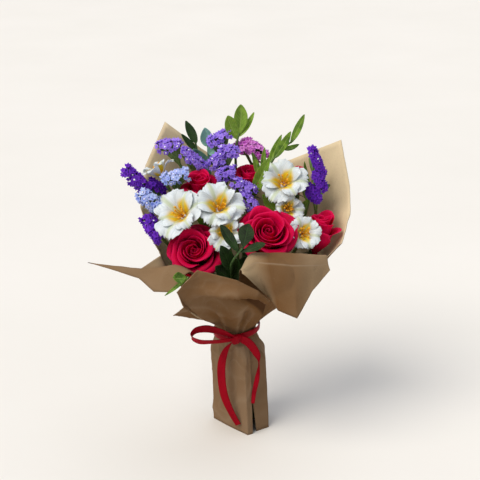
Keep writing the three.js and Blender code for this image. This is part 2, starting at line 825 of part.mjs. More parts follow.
// The ribbon's band: a closed strip round the neck, higher on the right.
function ribbonBand() {
  const points = [];
  const faces = [];
  for (let k = 0; k < RIBBON_STEPS; k++) {
    const angle = (k / RIBBON_STEPS) * 2 * Math.PI;
    for (const [thick, high] of [[0, -1], [1, -1], [1, 1], [0, 1]]) {
      const p = polar(angle, RIBBON_RADIUS + thick * RIBBON, TIE_HEIGHT + (high * RIBBON_WIDTH) / 2);
      p.z += RIBBON_SLANT * p.x;
      points.push(p.add(vec(TIE_SHIFT, 0, 0)));
    }
    for (let e = 0; e < 4; e++) {
      const a = 4 * k + e;
      const b = 4 * k + ((e + 1) % 4);
      const next = (i) => (i + 4) % (4 * RIBBON_STEPS);
      faces.push(a, b, next(b), a, next(b), next(a));
    }
  }
  return skin(points, faces);
}

// The whole ribbon: the band, its knot, the one open loop and both tails.
function ribbon() {
  const knot = new THREE.SphereGeometry(KNOT_RADIUS, 8, 5).scale(1, 0.75, 0.9);
  knot.translate(KNOT[0], KNOT[1], KNOT[2]);
  const loop = strip(
    [
      { at: [-8, -31, 121], side: [1, -2, 6] },
      { at: [-24, -33, 131], side: [0, -2, 8] },
      { at: [-41, -34, 136], side: [0, -1, 8] },
      { at: [-56, -37, 134], side: [-2, -2, 7] },
      { at: [-59, -42, 129], side: [-1, -5, 6] },
      { at: [-51, -46, 124], side: [0, -6, 4] },
      { at: [-35, -43, 122], side: [0, -6, 4] },
      { at: [-19, -36, 121], side: [0, -4, 6] },
      { at: [-8, -31, 120], side: [1, -2, 6] },
    ],
    12,
  );
  const leftTail = strip(
    [
      { at: [-9, -32, 120], side: [5, 0, 5] },
      { at: [-18, -33.5, 111], side: [8, 0, 4] },
      { at: [-24, -35, 93], side: [9, -1, 1] },
      { at: [-24.5, -36, 71], side: [9, -1, 0] },
      { at: [-21, -36, 48], side: [8, -1, 2] },
      { at: [-13, -36, 27], side: [7, -1, 3] },
      { at: [-5, -36, 11], side: [6, -1, 3] },
    ],
    8,
  );
  const rightTail = strip(
    [
      { at: [-4, -32, 122], side: [3, 0, 8] },
      { at: [7, -34.5, 117], side: [6, 0, 8] },
      { at: [16, -36, 104], side: [6, -1, 2] },
      { at: [19, -37, 92], side: [1, -5, 1] },
      { at: [17, -37, 73], side: [5, -3, -1] },
      { at: [13.5, -37, 55], side: [5, -1, 0] },
      { at: [12, -37.5, 41], side: [4, -1, 0] },
    ],
    8,
  );
  return fuse([ribbonBand(), knot, loop, leftTail, rightTail]);
}

// Every stem of the bundle, with what it is heading for and what it carries at its end.
const stems = [];

ROSES.forEach((rose, index) => {
  const faces = point(rose.faces).normalize();
  const seat = point(rose.at).addScaledVector(faces, -ROSE_SEAT * rose.height);
  const name = `rose_${index + 1}`;
  const bloom = place(`${name}_bloom`, roseBloom(rose), "rose", 0.5);
  bloom.position.copy(seat);
  bloom.quaternion.setFromUnitVectors(UP, faces);
  const aim = seat.clone().addScaledVector(faces, -CALYX_DEPTH);
  const node = seat.clone().addScaledVector(faces, -ROSE_NODE).toArray();
  stems.push({
    name: `${name}_stem`,
    colour: "darkGreen",
    aim,
    approach: seat.clone().addScaledVector(faces, -ROSE_BEND),
    radius: ROSE_STEM,
    carries: () => [
      calyx(seat, faces),
      ...rose.leaves.map((one) => leaf({ base: node, ...one })),
    ],
  });
});

ALSTROEMERIAS.forEach(({ fork, blooms }, index) => {
  const name = `alstroemeria_${index + 1}`;
  const start = point(fork);
  const pedicels = blooms.map((flower, k) => {
    const faces = point(flower.faces).normalize();
    const seat = point(flower.at).addScaledVector(faces, -ALSTROEMERIA_SEAT * flower.radius);
    const bloom = place(`${name}_bloom_${k + 1}`, alstroemeriaBloom(flower), "white", 0.55);
    bloom.position.copy(seat);
    bloom.quaternion.setFromUnitVectors(UP, faces);
    const end = seat.clone().addScaledVector(faces, -SEAT_GAP);
    const before = seat.clone().addScaledVector(faces, -PEDICEL_BEND);
    const rise = start.clone().lerp(before, 0.35).add(vec(0, 0, 6));
    const curve = new THREE.CubicBezierCurve3(start, rise, before, end);
    return tube(curve.getPoints(4), [1.8, 1.5, 1.5, 1.7, 2.2], { sides: 4, end: faces });
  });
  stems.push({
    name: `${name}_stem`,
    colour: "green",
    aim: start,
    approach: start.clone().add(vec(0, 0, -FORK_BEND)),
    radius: ALSTROEMERIA_STEM,
    carries: () => pedicels,
  });
});

STATICES.forEach(({ colour, fork, heads }, index) => {
  const start = point(fork);
  stems.push({
    name: `statice_${index + 1}_spray`,
    colour,
    aim: start,
    approach: start.clone().add(vec(0, 0, -FORK_BEND)),
    radius: STATICE_STEM,
    carries: () => heads.flatMap((head) => staticeHead(head, start)),
  });
});

SPRIGS.forEach(({ name, colour, stem, leaves }) => {
  const path = stem.map(point);
  const rise = path[1].clone().sub(path[0]).normalize();
  stems.push({
    name,
    colour,
    aim: path[0],
    approach: path[0].clone().addScaledVector(rise, -SPRIG_BEND),
    radius: SPRIG_STEM,
    beyond: path.slice(1),
    carries: () => leaves.map(leaf),
  });
});

assignSlots(stems).forEach((slot, index) => {
  const stem = stems[index];
  place(stem.name, fuse([stemTube(stem, slot), ...stem.carries()]), stem.colour);
});

place("paper_back_sheet", solid(paperSheet(BACK_SHEET)), "kraft", 0.85);
place("paper_front_sheet", solid(paperSheet(FRONT_SHEET)), "kraft", 0.85);
place("paper_flap_sheet", solid(paperSheet(FLAP_SHEET)), "kraft", 0.85);
place("ribbon", ribbon(), "ribbon", 0.4);

export default bouquet;
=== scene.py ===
"""A hand-tied mixed bouquet in kraft paper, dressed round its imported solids.

Every size is in millimetres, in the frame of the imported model: X to the right, Y away from
the viewer and Z up. A mesh is scaled to metres when it is made.
"""

import logging
import math
from collections.abc import Callable, Sequence
from dataclasses import dataclass
from enum import Enum
from typing import Any

import bpy
import numpy as np
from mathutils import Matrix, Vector, noise


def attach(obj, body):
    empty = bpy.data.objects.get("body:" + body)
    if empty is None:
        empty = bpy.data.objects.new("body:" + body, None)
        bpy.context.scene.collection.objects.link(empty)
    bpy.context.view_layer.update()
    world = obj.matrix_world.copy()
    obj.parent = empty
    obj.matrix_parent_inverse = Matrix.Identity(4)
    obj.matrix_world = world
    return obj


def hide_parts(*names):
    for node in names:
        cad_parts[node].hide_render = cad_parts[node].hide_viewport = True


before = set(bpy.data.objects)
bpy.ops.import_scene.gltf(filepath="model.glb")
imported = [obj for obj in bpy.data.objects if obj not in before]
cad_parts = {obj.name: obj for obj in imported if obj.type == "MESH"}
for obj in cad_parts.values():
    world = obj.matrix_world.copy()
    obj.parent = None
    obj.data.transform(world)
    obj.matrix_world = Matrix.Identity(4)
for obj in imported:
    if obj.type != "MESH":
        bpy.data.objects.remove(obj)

log = logging.getLogger("bouquet")

Array = np.ndarray
Point = tuple[float, float, float]
Rings = tuple[tuple[float, float], ...]
Surface = Callable[[Array, Array], Array]
Node = bpy.types.Node
Socket = bpy.types.NodeSocket
Material = bpy.types.Material
Piece = bpy.types.Object

MM = 0.001
BODY = "root"
GOLDEN_ANGLE = math.radians(137.508)

# The tie, the stems that run through it, and the sleeve that stands round them.
TIE_HEIGHT = 121.0
TIE_SHIFT = -7.0
NECK_HALF = 6.0
STEM_PITCH = 6.0
STEM_ROUND = 2.85
STEM_STEPS = np.array([0.0, 0.02, 0.3, 0.6, 0.9])
RISE_POINTS = 22
BEYOND_POINTS = 13
FOOT_SPREAD = 1.04
SLEEVE_TOP = 93.0
SLEEVE_LEAN = -3.0
SLEEVE_CORNERS = ((-32.0, 2.0), (6.0, -38.0), (31.0, -21.0), (31.0, 14.0), (-11.0, 28.0))
PLEAT_VALLEY = 19.8
PLEAT_PEAK = 22.6
BACK_FULLNESS = 2.5

# Blooms past these radii get finer petals, and the random draws start from these seeds.
LARGE_ROSE = 25
LARGE_BLOOM = 15
ROSE_SEED = 40
STATICE_SEED = 70


class Slot(Enum):
    """The record's material slots."""

    ROSE = "rose_petal"
    WHITE = "white_petal"
    GREEN = "green_leaf"
    DARK = "dark_leaf"
    BLUE_GREEN = "blue_green_leaf"
    LAVENDER = "lavender_floret"
    VIOLET = "violet_floret"
    PALE_BLUE = "pale_blue_floret"
    PINK = "pink_floret"
    KRAFT = "kraft_paper"
    SATIN = "ribbon_satin"


def vec(*xyz: float) -> Array:
    """A point or a direction."""
    return np.array(xyz, float)


def unit(direction: Array) -> Array:
    """The direction at length one."""
    return direction / np.linalg.norm(direction)


def unit_rows(directions: Array) -> Array:
    """Every row at length one."""
    return directions / np.maximum(np.linalg.norm(directions, axis=-1, keepdims=True), 1e-9)


def facing(grid: Array) -> Array:
    """The way that a grid of points faces at each of them."""
    return unit_rows(np.cross(np.gradient(grid, axis=1), np.gradient(grid, axis=0)))


def smooth(value: Array | float, low: float, high: float) -> Array:
    """Goes smoothly from 0 at low to 1 at high."""
    share = np.clip((np.asarray(value, float) - low) / (high - low), 0.0, 1.0)
    return share * share * (3 - 2 * share)


def bell(value: Array, middle: Array | float, width: Array | float) -> Array:
    """Goes smoothly up to 1 at the middle and down to 0 on both sides."""
    return np.exp(-(((value - middle) / width) ** 2))


def polar(angle: Array | float, radius: Array | float, z: Array | float) -> Array:
    """Points at an angle and a radius round the Z axis."""
    parts = np.broadcast_arrays(radius * np.cos(angle), radius * np.sin(angle), z)
    return np.stack(parts, axis=-1).astype(float)


def bezier(a: Array, b: Array, c: Array, d: Array, count: int) -> Array:
    """Points on a cubic curve from a to d, both ends among them.

    Args:
        a: The start.
        b: The point that the curve leaves towards.
        c: The point that it arrives from.
        d: The end.
        count: How many points.

    Returns:
        The points, one a row.
    """
    t = np.linspace(0, 1, count)[:, None]
    return (1 - t) ** 3 * a + 3 * (1 - t) ** 2 * t * b + 3 * (1 - t) * t * t * c + t**3 * d


def through(points: Array, places: Array) -> Array:
    """Points on the smooth line that passes through given ones without overshooting.

    Args:
        points: The points to pass, one a row.
        places: Shares of the way, from 0 to 1, counted evenly from point to point.

    Returns:
        A point for each place.
    """
    last = len(points) - 1
    ends = [2 * points[0] - points[1], *points, 2 * points[-1] - points[-2]]
    found = []
    for place in places:
        index = min(int(place * last), last - 1)
        t = place * last - index
        p0, p1, p2, p3 = ends[index : index + 4]
        d1 = max(np.linalg.norm(p2 - p1) ** 0.5, 1e-4)
        d0 = max(np.linalg.norm(p1 - p0) ** 0.5, 1e-4)
        d2 = max(np.linalg.norm(p3 - p2) ** 0.5, 1e-4)
        leave = d1 * ((p1 - p0) / d0 - (p2 - p0) / (d0 + d1) + (p2 - p1) / d1)
        arrive = d1 * ((p2 - p1) / d1 - (p3 - p1) / (d1 + d2) + (p3 - p2) / d2)
        bend = 3 * (p2 - p1) - 2 * leave - arrive
        twist = 2 * (p1 - p2) + leave + arrive
        found.append(p1 + leave * t + bend * t * t + twist * t**3)
    return np.array(found)


def ridges(points: Array, size: float, seed: float) -> Array:
    """Soft ridges with sharp crests, as paper has them, from 0 to 1.

    Args:
        points: Where to read them, in millimetres, one a row.
        size: How far apart they are.
        seed: Which pattern to use.

    Returns:
        The height at each point.
    """
    shift = Vector((seed, 1.7 * seed, -seed))
    read = [1 - 2 * abs(noise.noise(Vector(p) / size + shift)) for p in points]
    return np.clip(np.array(read), 0, 1) ** 2


def carry(mesh: bpy.types.Mesh, name: str, values: Array) -> None:
    """Stores a number or a vector at each point of a mesh.

    Args:
        mesh: The mesh.
        name: What they are stored under.
        values: A number or a row of three for each point.
    """
    kind, label = ("FLOAT_VECTOR", "vector") if values.ndim == 2 else ("FLOAT", "value")
    made = mesh.attributes.new(name, kind, "POINT")
    made.data.foreach_set(label, values.ravel())


def stand(name: str, data: bpy.types.ID) -> Piece:
    """Puts a new object in the scene.

    Args:
        name: Its name.
        data: Its mesh, light or camera.

    Returns:
        The object.
    """
    made = bpy.data.objects.new(name, data)
    bpy.context.scene.collection.objects.link(made)
    return made


@dataclass
class Seat:
    """Where a bloom sits: the middle of its base and the way that it faces."""

    origin: Array
    faces: Array

    def turned(self, points: Array) -> Array:
        """Points of the bloom's own frame, turned and moved to their place."""
        turn = Vector((0, 0, 1)).rotation_difference(Vector(self.faces))
        return points @ np.array(turn.to_matrix()).T + self.origin


@dataclass
class Strand:
    """A line of points with the radius of the tube round each."""

    points: Array
    radii: Array


class Skin:
    """Gathers closed shells, and makes one mesh of them.

    Each point keeps its place on its blade, as across, along and side, and a tone that tells one
    petal or floret from the next. On the paper, side also carries painted light and tone carries
    wear and painted light; on the roses, tone partly carries painted shade.
    """

    def __init__(self) -> None:
        """Starts with no shells."""
        self.points: list[Array] = []
        self.places: list[Array] = []
        self.tones: list[Array] = []
        self.faces: list[tuple[int, ...]] = []
        self.count = 0

    def add(
        self, points: Array, faces: Sequence[tuple[int, ...]], places: Array, tone: float | Array
    ) -> None:
        """Adds one closed shell.

        Args:
            points: Its points, one a row.
            faces: Its faces, as rows of points counted from 0, seen from outside.
            places: Across, along and side of each point.
            tone: Its tone from 0 to 1, over all or at each point.
        """
        self.points.append(points)
        self.places.append(places.astype(float))
        self.tones.append(np.broadcast_to(tone, len(points)))
        self.faces += [tuple(self.count + corner for corner in face) for face in faces]
        self.count += len(points)

    def sheet(
        self, middle: Array, half: Array | float, u: Array, v: Array, tone: float | Array = 0.5
    ) -> None:
        """Adds a thin closed sheet with its middle at a grid of points.

        Args:
            middle: The grid of points, with rows along it and columns across it.
            half: Half its thickness, over all or at each point.
            u: Where each point is across it, from 0 to 1.
            v: Where each point is along it, from 0 to 1.
            tone: Its tone from 0 to 1, over all or at each point.
        """
        offset = facing(middle) * np.broadcast_to(half, u.shape)[..., None]
        rows, columns = u.shape
        under = rows * columns
        points = np.concatenate([middle + offset, middle - offset]).reshape(-1, 3)
        side = np.repeat([0.0, 1.0], under)
        places = np.column_stack([np.tile(u.ravel(), 2), np.tile(v.ravel(), 2), side])
        faces: list[tuple[int, ...]] = []
        for j in range(rows - 1):
            for i in range(columns - 1):
                a = j * columns + i
                b, c, d = a + 1, a + columns + 1, a + columns
                faces.append((a, b, c, d))
                faces.append((a + under, d + under, c + under, b + under))
        for i in range(columns - 1):
            faces.append((i + 1, i, i + under, i + 1 + under))
            a = (rows - 1) * columns + i
            faces.append((a, a + 1, a + 1 + under, a + under))
        for j in range(rows - 1):
            a, b = j * columns, (j + 1) * columns
            faces.append((a, b, b + under, a + under))
            a, b = a + columns - 1, b + columns - 1
            faces.append((b, a, a + under, b + under))
        toned = np.tile(np.broadcast_to(tone, u.shape).ravel(), 2)
        self.add(points, faces, places, toned)

    def blade(
        self,
        surface: Surface,
        cells: tuple[int, int],
        thickness: float,
        tone: float = 0.5,
        seat: Seat | None = None,
    ) -> None:
        """Adds a blade that follows a surface and thins out towards its edges.

        Args:
            surface: Gives points for u from -1 to 1 across it and v from 0 to 1 along it.
            cells: How many cells across it and along it.
            thickness: Its thickness at its middle.
            tone: Its tone, from 0 to 1.
            seat: Where its own frame is, if it has one.
        """
        u, v = np.meshgrid(np.linspace(-1, 1, cells[0] + 1), np.linspace(0, 1, cells[1] + 1))
        middle = surface(u, v)
        if seat:
            middle = seat.turned(middle)
        half = 0.5 * thickness * (1 - 0.6 * np.maximum(np.abs(u) ** 3, v**4))
        self.sheet(middle, half, 0.5 + 0.5 * u, v, tone)

    def shell(self, rings: Array, tone: float = 0.5, closed: bool = False) -> None:
        """Adds a skin over rings of points, counter-clockwise as seen from the last ring.

        Args:
            rings: The rings, each a row of points.
            tone: Its tone, from 0 to 1.
            closed: Whether the last ring joins the first, as on a band; if not, each end
                closes in a fan.
        """
        count, sides = rings.shape[:2]
        points = rings.reshape(-1, 3)
        across = np.tile(np.arange(sides) / sides, count)
        along = np.repeat(np.linspace(0, 1, count), sides)
        faces: list[tuple[int, ...]] = []
        for ring in range(count if closed else count - 1):
            for k in range(sides):
                n = (k + 1) % sides
                low, high = ring * sides, ((ring + 1) % count) * sides
                faces.append((low + k, low + n, high + n, high + k))
        if not closed:
            bottom, top, last = len(points), len(points) + 1, (count - 1) * sides
            points = np.concatenate([points, [rings[0].mean(0), rings[-1].mean(0)]])
            across = np.append(across, [0.5, 0.5])
            along = np.append(along, [0, 1])
            for k in range(sides):
                n = (k + 1) % sides
                faces.append((n, k, bottom))
                faces.append((last + k, last + n, top))
        self.add(points, faces, np.column_stack([across, along, 0 * along]), tone)

    def lathe(
        self, profile: Sequence[tuple[float, float]], sides: int, seat: Seat, tone: float = 0.5
    ) -> None:
        """Adds a turned shell round the Z axis of a seat.

        Args:
            profile: Radius and height of each ring, from the bottom up.
            sides: How many sides each ring has.
            seat: Where it stands.
            tone: Its tone, from 0 to 1.
        """
        angles = np.arange(sides) * math.tau / sides
        rings = np.array([polar(angles, radius, z) for radius, z in profile])
        self.shell(seat.turned(rings), tone)

    def object(self, name: str, material: Material) -> Piece:
        """Makes the mesh object, with each point's place and tone as attributes.

        Args:
            name: The piece's name.
            material: Its finish.

        Returns:
            The new object.
        """
        mesh = bpy.data.meshes.new(name)
        mesh.from_pydata(np.concatenate(self.points) * MM, [], self.faces)
        mesh.polygons.foreach_set("use_smooth", [True] * len(mesh.polygons))
        carry(mesh, "place", np.concatenate(self.places))
        carry(mesh, "tone", np.concatenate(self.tones))
        mesh.materials.append(material)
        return stand(name, mesh)


class Graph:
    """A node tree under construction."""

    def __init__(self, tree: bpy.types.NodeTree) -> None:
        """Starts on a tree."""
        self.tree = tree

    def node(self, kind: str, inputs: dict[str | int, Any], **settings: Any) -> Node:
        """Adds a node.

        Args:
            kind: The node's type.
            inputs: A socket or a value for each input, by its name or number.
            settings: The node's own settings.

        Returns:
            The node.
        """
        made = self.tree.nodes.new(kind)
        for label, value in settings.items():
            setattr(made, label, value)
        for key, value in inputs.items():
            if isinstance(value, bpy.types.NodeSocket):
                self.tree.links.new(value, made.inputs[key])
            else:
                made.inputs[key].default_value = value
        return made

    def math(self, operation: str, a: float | Socket, b: float | Socket = 0.0) -> Socket:
        """The result of one sum."""
        return self.node("ShaderNodeMath", {0: a, 1: b}, operation=operation).outputs[0]

    def times(self, a: Socket, b: float | Socket) -> Socket:
        """One value times another."""
        return self.math("MULTIPLY", a, b)

    def plus(self, a: Socket, b: float | Socket) -> Socket:
        """One value and another."""
        return self.math("ADD", a, b)


class Tree(Graph):
    """A Geometry Nodes tree, with named inputs for what may differ."""

    def __init__(self, name: str, inputs: dict[str, tuple[str, Any]]) -> None:
        """Starts the tree.

        Args:
            name: The tree's name.
            inputs: The kind and the usual value of each named input.
        """
        super().__init__(bpy.data.node_groups.new(name, "GeometryNodeTree"))
        face = self.tree.interface
        face.new_socket("Geometry", in_out="INPUT", socket_type="NodeSocketGeometry")
        face.new_socket("Geometry", in_out="OUTPUT", socket_type="NodeSocketGeometry")
        for label, (kind, usual) in inputs.items():
            made = face.new_socket(label, in_out="INPUT", socket_type=f"NodeSocket{kind}")
            if usual is not None:
                made.default_value = usual
        self.given = self.tree.nodes.new("NodeGroupInput").outputs
        self.end = self.tree.nodes.new("NodeGroupOutput")

    def carried(self, name: str, kind: str) -> Socket:
        """What the points carry under a name."""
        read = self.node("GeometryNodeInputNamedAttribute", {"Name": name}, data_type=kind)
        return read.outputs[0]

    def chance(self, low: float | Socket, high: float | Socket, shift: int) -> Socket:
        """A random number for each point.

        Args:
            low: The least that it can be.
            high: The most.
            shift: What is added to the tree's seed.

        Returns:
            The number.
        """
        seed = self.plus(self.given["Seed"], float(shift))
        made = self.node("FunctionNodeRandomValue", {2: low, 3: high, 8: seed}, data_type="FLOAT")
        return made.outputs[1]

    def close(self, geometry: Socket) -> None:
        """Ends the tree in plain meshes with the asked material.

        Args:
            geometry: What has grown.
        """
        plain = self.node("GeometryNodeRealizeInstances", {"Geometry": geometry})
        painted = self.node(
            "GeometryNodeSetMaterial",
            {"Geometry": plain.outputs[0], "Material": self.given["Material"]},
        )
        self.tree.links.new(painted.outputs[0], self.end.inputs[0])

    def grow(self, source: Piece, values: dict[str, Any]) -> Piece:
        """Runs the tree on an object and leaves the result as its plain mesh.

        Args:
            source: The object that the tree starts from.
            values: The values of the named inputs.

        Returns:
            The same object with its new mesh.
        """
        modifier = source.modifiers.new("growth", "NODES")
        modifier.node_group = self.tree
        for item in self.tree.interface.items_tree:
            if item.item_type == "SOCKET" and item.in_out == "INPUT" and item.name in values:
                modifier[item.identifier] = values[item.name]
        graph = bpy.context.evaluated_depsgraph_get()
        mesh = bpy.data.meshes.new_from_object(source.evaluated_get(graph))
        source.modifiers.clear()
        bare = source.data
        source.data = mesh
        bpy.data.meshes.remove(bare)
        mesh.name = source.name
        mesh.polygons.foreach_set("use_smooth", [True] * len(mesh.polygons))
        return source


class TubeTree(Tree):
    """Turns lines into round tubes, as thick as their points say."""

    def __init__(self) -> None:
        """Builds the tree."""
        super().__init__(
            "tubes_along_lines",
            {"Sides": ("Int", 8), "Thickness": ("Float", 1.0), "Material": ("Material", None)},
        )
        curve = self.node("GeometryNodeMeshToCurve", {"Mesh": self.given["Geometry"]})
        ring = self.node(
            "GeometryNodeCurvePrimitiveCircle", {"Resolution": self.given["Sides"], "Radius": 1.0}
        )
        tube = self.node(
            "GeometryNodeCurveToMesh",
            {
                "Curve": curve.outputs[0],
                "Profile Curve": ring.outputs[0],
                "Scale": self.times(self.carried("girth", "FLOAT"), self.given["Thickness"]),
                "Fill Caps": True,
            },
        )
        self.close(tube.outputs[0])

    def tubes(self, name: str, strands: Sequence[Strand], sides: int, material: Material) -> Piece:
        """Makes one piece of many tubes.

        Args:
            name: The piece's name.
            strands: The tubes' lines and radii.
            sides: How many sides each tube has.
            material: Its finish.

        Returns:
            The piece.
        """
        points = np.concatenate([strand.points for strand in strands])
        counts = np.cumsum([0] + [len(strand.points) for strand in strands])
        edges = [(k, k + 1) for a, b in zip(counts, counts[1:]) for k in range(a, b - 1)]
        along = np.concatenate([np.linspace(0, 1, len(strand.points)) for strand in strands])
        mesh = bpy.data.meshes.new(name)
        mesh.from_pydata(points * MM, edges, [])
        carry(mesh, "girth", np.concatenate([strand.radii for strand in strands]) * MM)
        carry(mesh, "place", np.column_stack([0 * along, along, 0 * along]))
        return self.grow(stand(name, mesh), {"Sides": sides, "Material": material})


class SowingTree(Tree):
    """Sets a sample on every seat, turned to the seat's heading.

    Each copy is spun and sized at random from the seed, and carries its own tone.
    """

    def __init__(self) -> None:
        """Builds the tree."""
        super().__init__(
            "samples_on_seats",
            {
                "Sample": ("Object", None),
                "Share": ("Float", 1.0),
                "Least size": ("Float", 0.85),
                "Largest size": ("Float", 1.15),
                "Seed": ("Int", 1),
                "Material": ("Material", None),
            },
        )
        sample = self.node("GeometryNodeObjectInfo", {"Object": self.given["Sample"]})
        aimed = self.node(
            "FunctionNodeAlignRotationToVector",
            {"Vector": self.carried("heading", "FLOAT_VECTOR")},
            axis="Z",
        )
        spin = self.node(
            "FunctionNodeAxisAngleToRotation",
            {"Axis": (0, 0, 1), "Angle": self.chance(0.0, math.tau, 0)},
        )
        turned = self.node(
            "FunctionNodeRotateRotation",
            {"Rotation": aimed.outputs[0], "Rotate By": spin.outputs[0]},
            rotation_space="LOCAL",
        )
        size = self.chance(self.given["Least size"], self.given["Largest size"], 1)
        copies = self.node(
            "GeometryNodeInstanceOnPoints",
            {
                "Points": self.given["Geometry"],
                "Selection": self.math("LESS_THAN", self.chance(0.0, 1.0, 2), self.given["Share"]),
                "Instance": sample.outputs["Geometry"],
                "Rotation": turned.outputs[0],
                "Scale": self.times(size, self.carried("growth", "FLOAT")),
            },
        )
        toned = self.node(
            "GeometryNodeStoreNamedAttribute",
            {"Geometry": copies.outputs[0], "Name": "tone", "Value": self.chance(0.0, 1.0, 3)},
            data_type="FLOAT",
            domain="INSTANCE",
        )
        self.close(toned.outputs[0])

    def sow(
        self,
        name: str,
        seats: Sequence[tuple[Array, Array, float]],
        sample: Skin,
        material: Material,
        **values: Any,
    ) -> Piece:
        """Makes one piece of many copies of a sample.

        Args:
            name: The piece's name.
            seats: The point, the heading and the size of each copy.
            sample: The sample, standing on the origin and facing up.
            material: Its finish.
            values: More of the tree's inputs, with _ for the spaces in their names.

        Returns:
            The piece.
        """
        pattern = sample.object(f"{name}_sample", material)
        pattern.data.attributes.remove(pattern.data.attributes["tone"])
        mesh = bpy.data.meshes.new(name)
        mesh.from_pydata(np.array([seat[0] for seat in seats]) * MM, [], [])
        carry(mesh, "heading", np.array([seat[1] for seat in seats]))
        carry(mesh, "growth", np.array([seat[2] for seat in seats], float))
        given = {label.replace("_", " "): value for label, value in values.items()}
        piece = self.grow(stand(name, mesh), {"Sample": pattern, "Material": material, **given})
        bpy.data.objects.remove(pattern)
        return piece


def colour(code: str) -> tuple[float, float, float, float]:
    """A colour for a node.

    Args:
        code: Its six hexadecimal digits, after a hash.

    Returns:
        Its red, green and blue, as shares of light, and 1.
    """
    parts = [int(code[i : i + 2], 16) / 255 for i in (1, 3, 5)]
    linear = [c / 12.92 if c <= 0.04045 else ((c + 0.055) / 1.055) ** 2.4 for c in parts]
    return (linear[0], linear[1], linear[2], 1.0)


class Paint(Graph):
    """A node material under construction, with its patterns on the piece's own places."""

    def __init__(self, name: str, fixed: dict[str, Any]) -> None:
        """Starts the material.

        Args:
            name: Its name.
            fixed: Values that are the same all over it, set on the shader's own sockets.
        """
        self.material = bpy.data.materials.new(name)
        self.material.use_nodes = True
        super().__init__(self.material.node_tree)
        self.shader = self.tree.nodes["Principled BSDF"]
        for label, value in fixed.items():
            self.shader.inputs[label].default_value = value
        place = self.node("ShaderNodeAttribute", {}, attribute_name="place")
        split = self.node("ShaderNodeSeparateXYZ", {0: place.outputs["Vector"]})
        self.across, self.along, self.side = split.outputs
        self.tone = self.node("ShaderNodeAttribute", {}, attribute_name="tone").outputs["Fac"]
        self.spot = self.node("ShaderNodeTexCoord", {}).outputs["Object"]

    def aside(self) -> Socket:
        """How far a place is from the blade's middle line: 0 on it and 0.5 on its edges."""
        return self.math("ABSOLUTE", self.math("SUBTRACT", self.across, 0.5))

    def step(self, value: Socket, low: float, high: float) -> Socket:
        """Goes smoothly from 0 where the value is low to 1 where it is high."""
        ranged = self.node(
            "ShaderNodeMapRange", {0: value, 1: low, 2: high}, interpolation_type="SMOOTHSTEP"
        )
        return ranged.outputs[0]

    def mix(self, share: Socket, a: str | Socket, b: str | Socket) -> Socket:
        """Blends two colours.

        Args:
            share: How much of the second.
            a: The first, as a code or a socket.
            b: The second.

        Returns:
            The blend.
        """
        pair = [colour(c) if isinstance(c, str) else c for c in (a, b)]
        made = self.node(
            "ShaderNodeMix", {0: share, 6: pair[0], 7: pair[1]}, data_type="RGBA", blend_type="MIX"
        )
        return made.outputs[2]

    def cover(self, below: str | Socket, where: Socket, most: float, over: str) -> Socket:
        """Lays one colour over another in places.

        Args:
            below: The colour below.
            where: Where the upper one lies, from 0 to 1.
            most: How much of it shows where it lies fully.
            over: The upper one, as a code.

        Returns:
            The colours together.
        """
        return self.mix(self.times(where, most), below, over)

    def cloud(self, scale: float, detail: float = 3.0, where: Socket | None = None) -> Socket:
        """Soft noise from 0 to 1.

        Args:
            scale: How fine it is.
            detail: How many finer layers it has.
            where: The places that it is read at, if they aren't the piece's own.

        Returns:
            The noise.
        """
        found = self.node(
            "ShaderNodeTexNoise",
            {"Vector": where or self.spot, "Scale": scale, "Detail": detail, "Roughness": 0.55},
        )
        return found.outputs[0]

    def grain(self, across: float, along: float) -> Socket:
        """A place on the blade, stretched for a grain that runs along it.

        Args:
            across: How fine the grain is across the blade.
            along: How fine it is along it.

        Returns:
            The place.
        """
        made = self.node(
            "ShaderNodeCombineXYZ",
            {
                0: self.times(self.across, across),
                1: self.times(self.along, along),
                2: self.times(self.tone, 31.0),
            },
        )
        return made.outputs[0]

    def finish(
        self,
        shade: Socket,
        relief: Socket | None = None,
        strength: float = 0.3,
        depth: float = 0.0005,
    ) -> Material:
        """Puts the patterns on the shader.

        Args:
            shade: The colour.
            relief: The height for the bump, if any.
            strength: How strong the bump is.
            depth: How deep it is, in metres.

        Returns:
            The material.
        """
        self.tree.links.new(shade, self.shader.inputs["Base Color"])
        if relief:
            bump = self.node(
                "ShaderNodeBump", {"Strength": strength, "Distance": depth, "Height": relief}
            )
            self.tree.links.new(bump.outputs[0], self.shader.inputs["Normal"])
        return self.material


@dataclass(frozen=True)
class RoseFinish:
    """Velvety rose petal: painted shade at its foot, deep in the bloom, bright on its face, and a painted
    highlight on its rolled lip.
    """

    # The foot colour is painted shade deep in the bloom, and also the colour of the veins.
    foot: str = "#740020"
    face: str = "#c4003c"
    bright: str = "#de0652"
    # The lip colour is a painted highlight.
    lip: str = "#e6205e"

    def material(self) -> Material:
        """Makes the material.

        Returns:
            The material.
        """
        paint = Paint(
            "rose_petal_velvet",
            {
                "Roughness": 0.6,
                "Specular IOR Level": 0.06,
                "Subsurface Weight": 0.25,
                "Subsurface Scale": 0.006,
                "Subsurface Radius": (1.0, 0.08, 0.14),
            },
        )
        # Painted shade: the petal darkens towards its foot, deep in the bloom.
        face = paint.mix(paint.step(paint.along, 0.1, 0.7), self.foot, self.face)
        lit = paint.times(paint.step(paint.cloud(70.0), 0.35, 0.75), 0.55)
        lit = paint.plus(lit, paint.times(paint.side, -0.25))
        face = paint.mix(lit, face, self.bright)
        veins = paint.cloud(1.0, 4.0, paint.grain(46.0, 2.2))
        face = paint.cover(face, paint.step(veins, 0.45, 0.75), 0.22, self.foot)
        # A painted highlight on the rolled lip.
        face = paint.cover(face, paint.step(paint.along, 0.93, 1.0), 0.5, self.lip)
        # Darker where the tone is low: partly random from petal to petal, partly painted shade, since the
        # core and the heart's petals get the lowest tones.
        face = paint.cover(face, paint.step(paint.tone, 0.5, 0.0), 0.3, self.foot)
        return paint.finish(face, veins, 0.35, 0.0004)


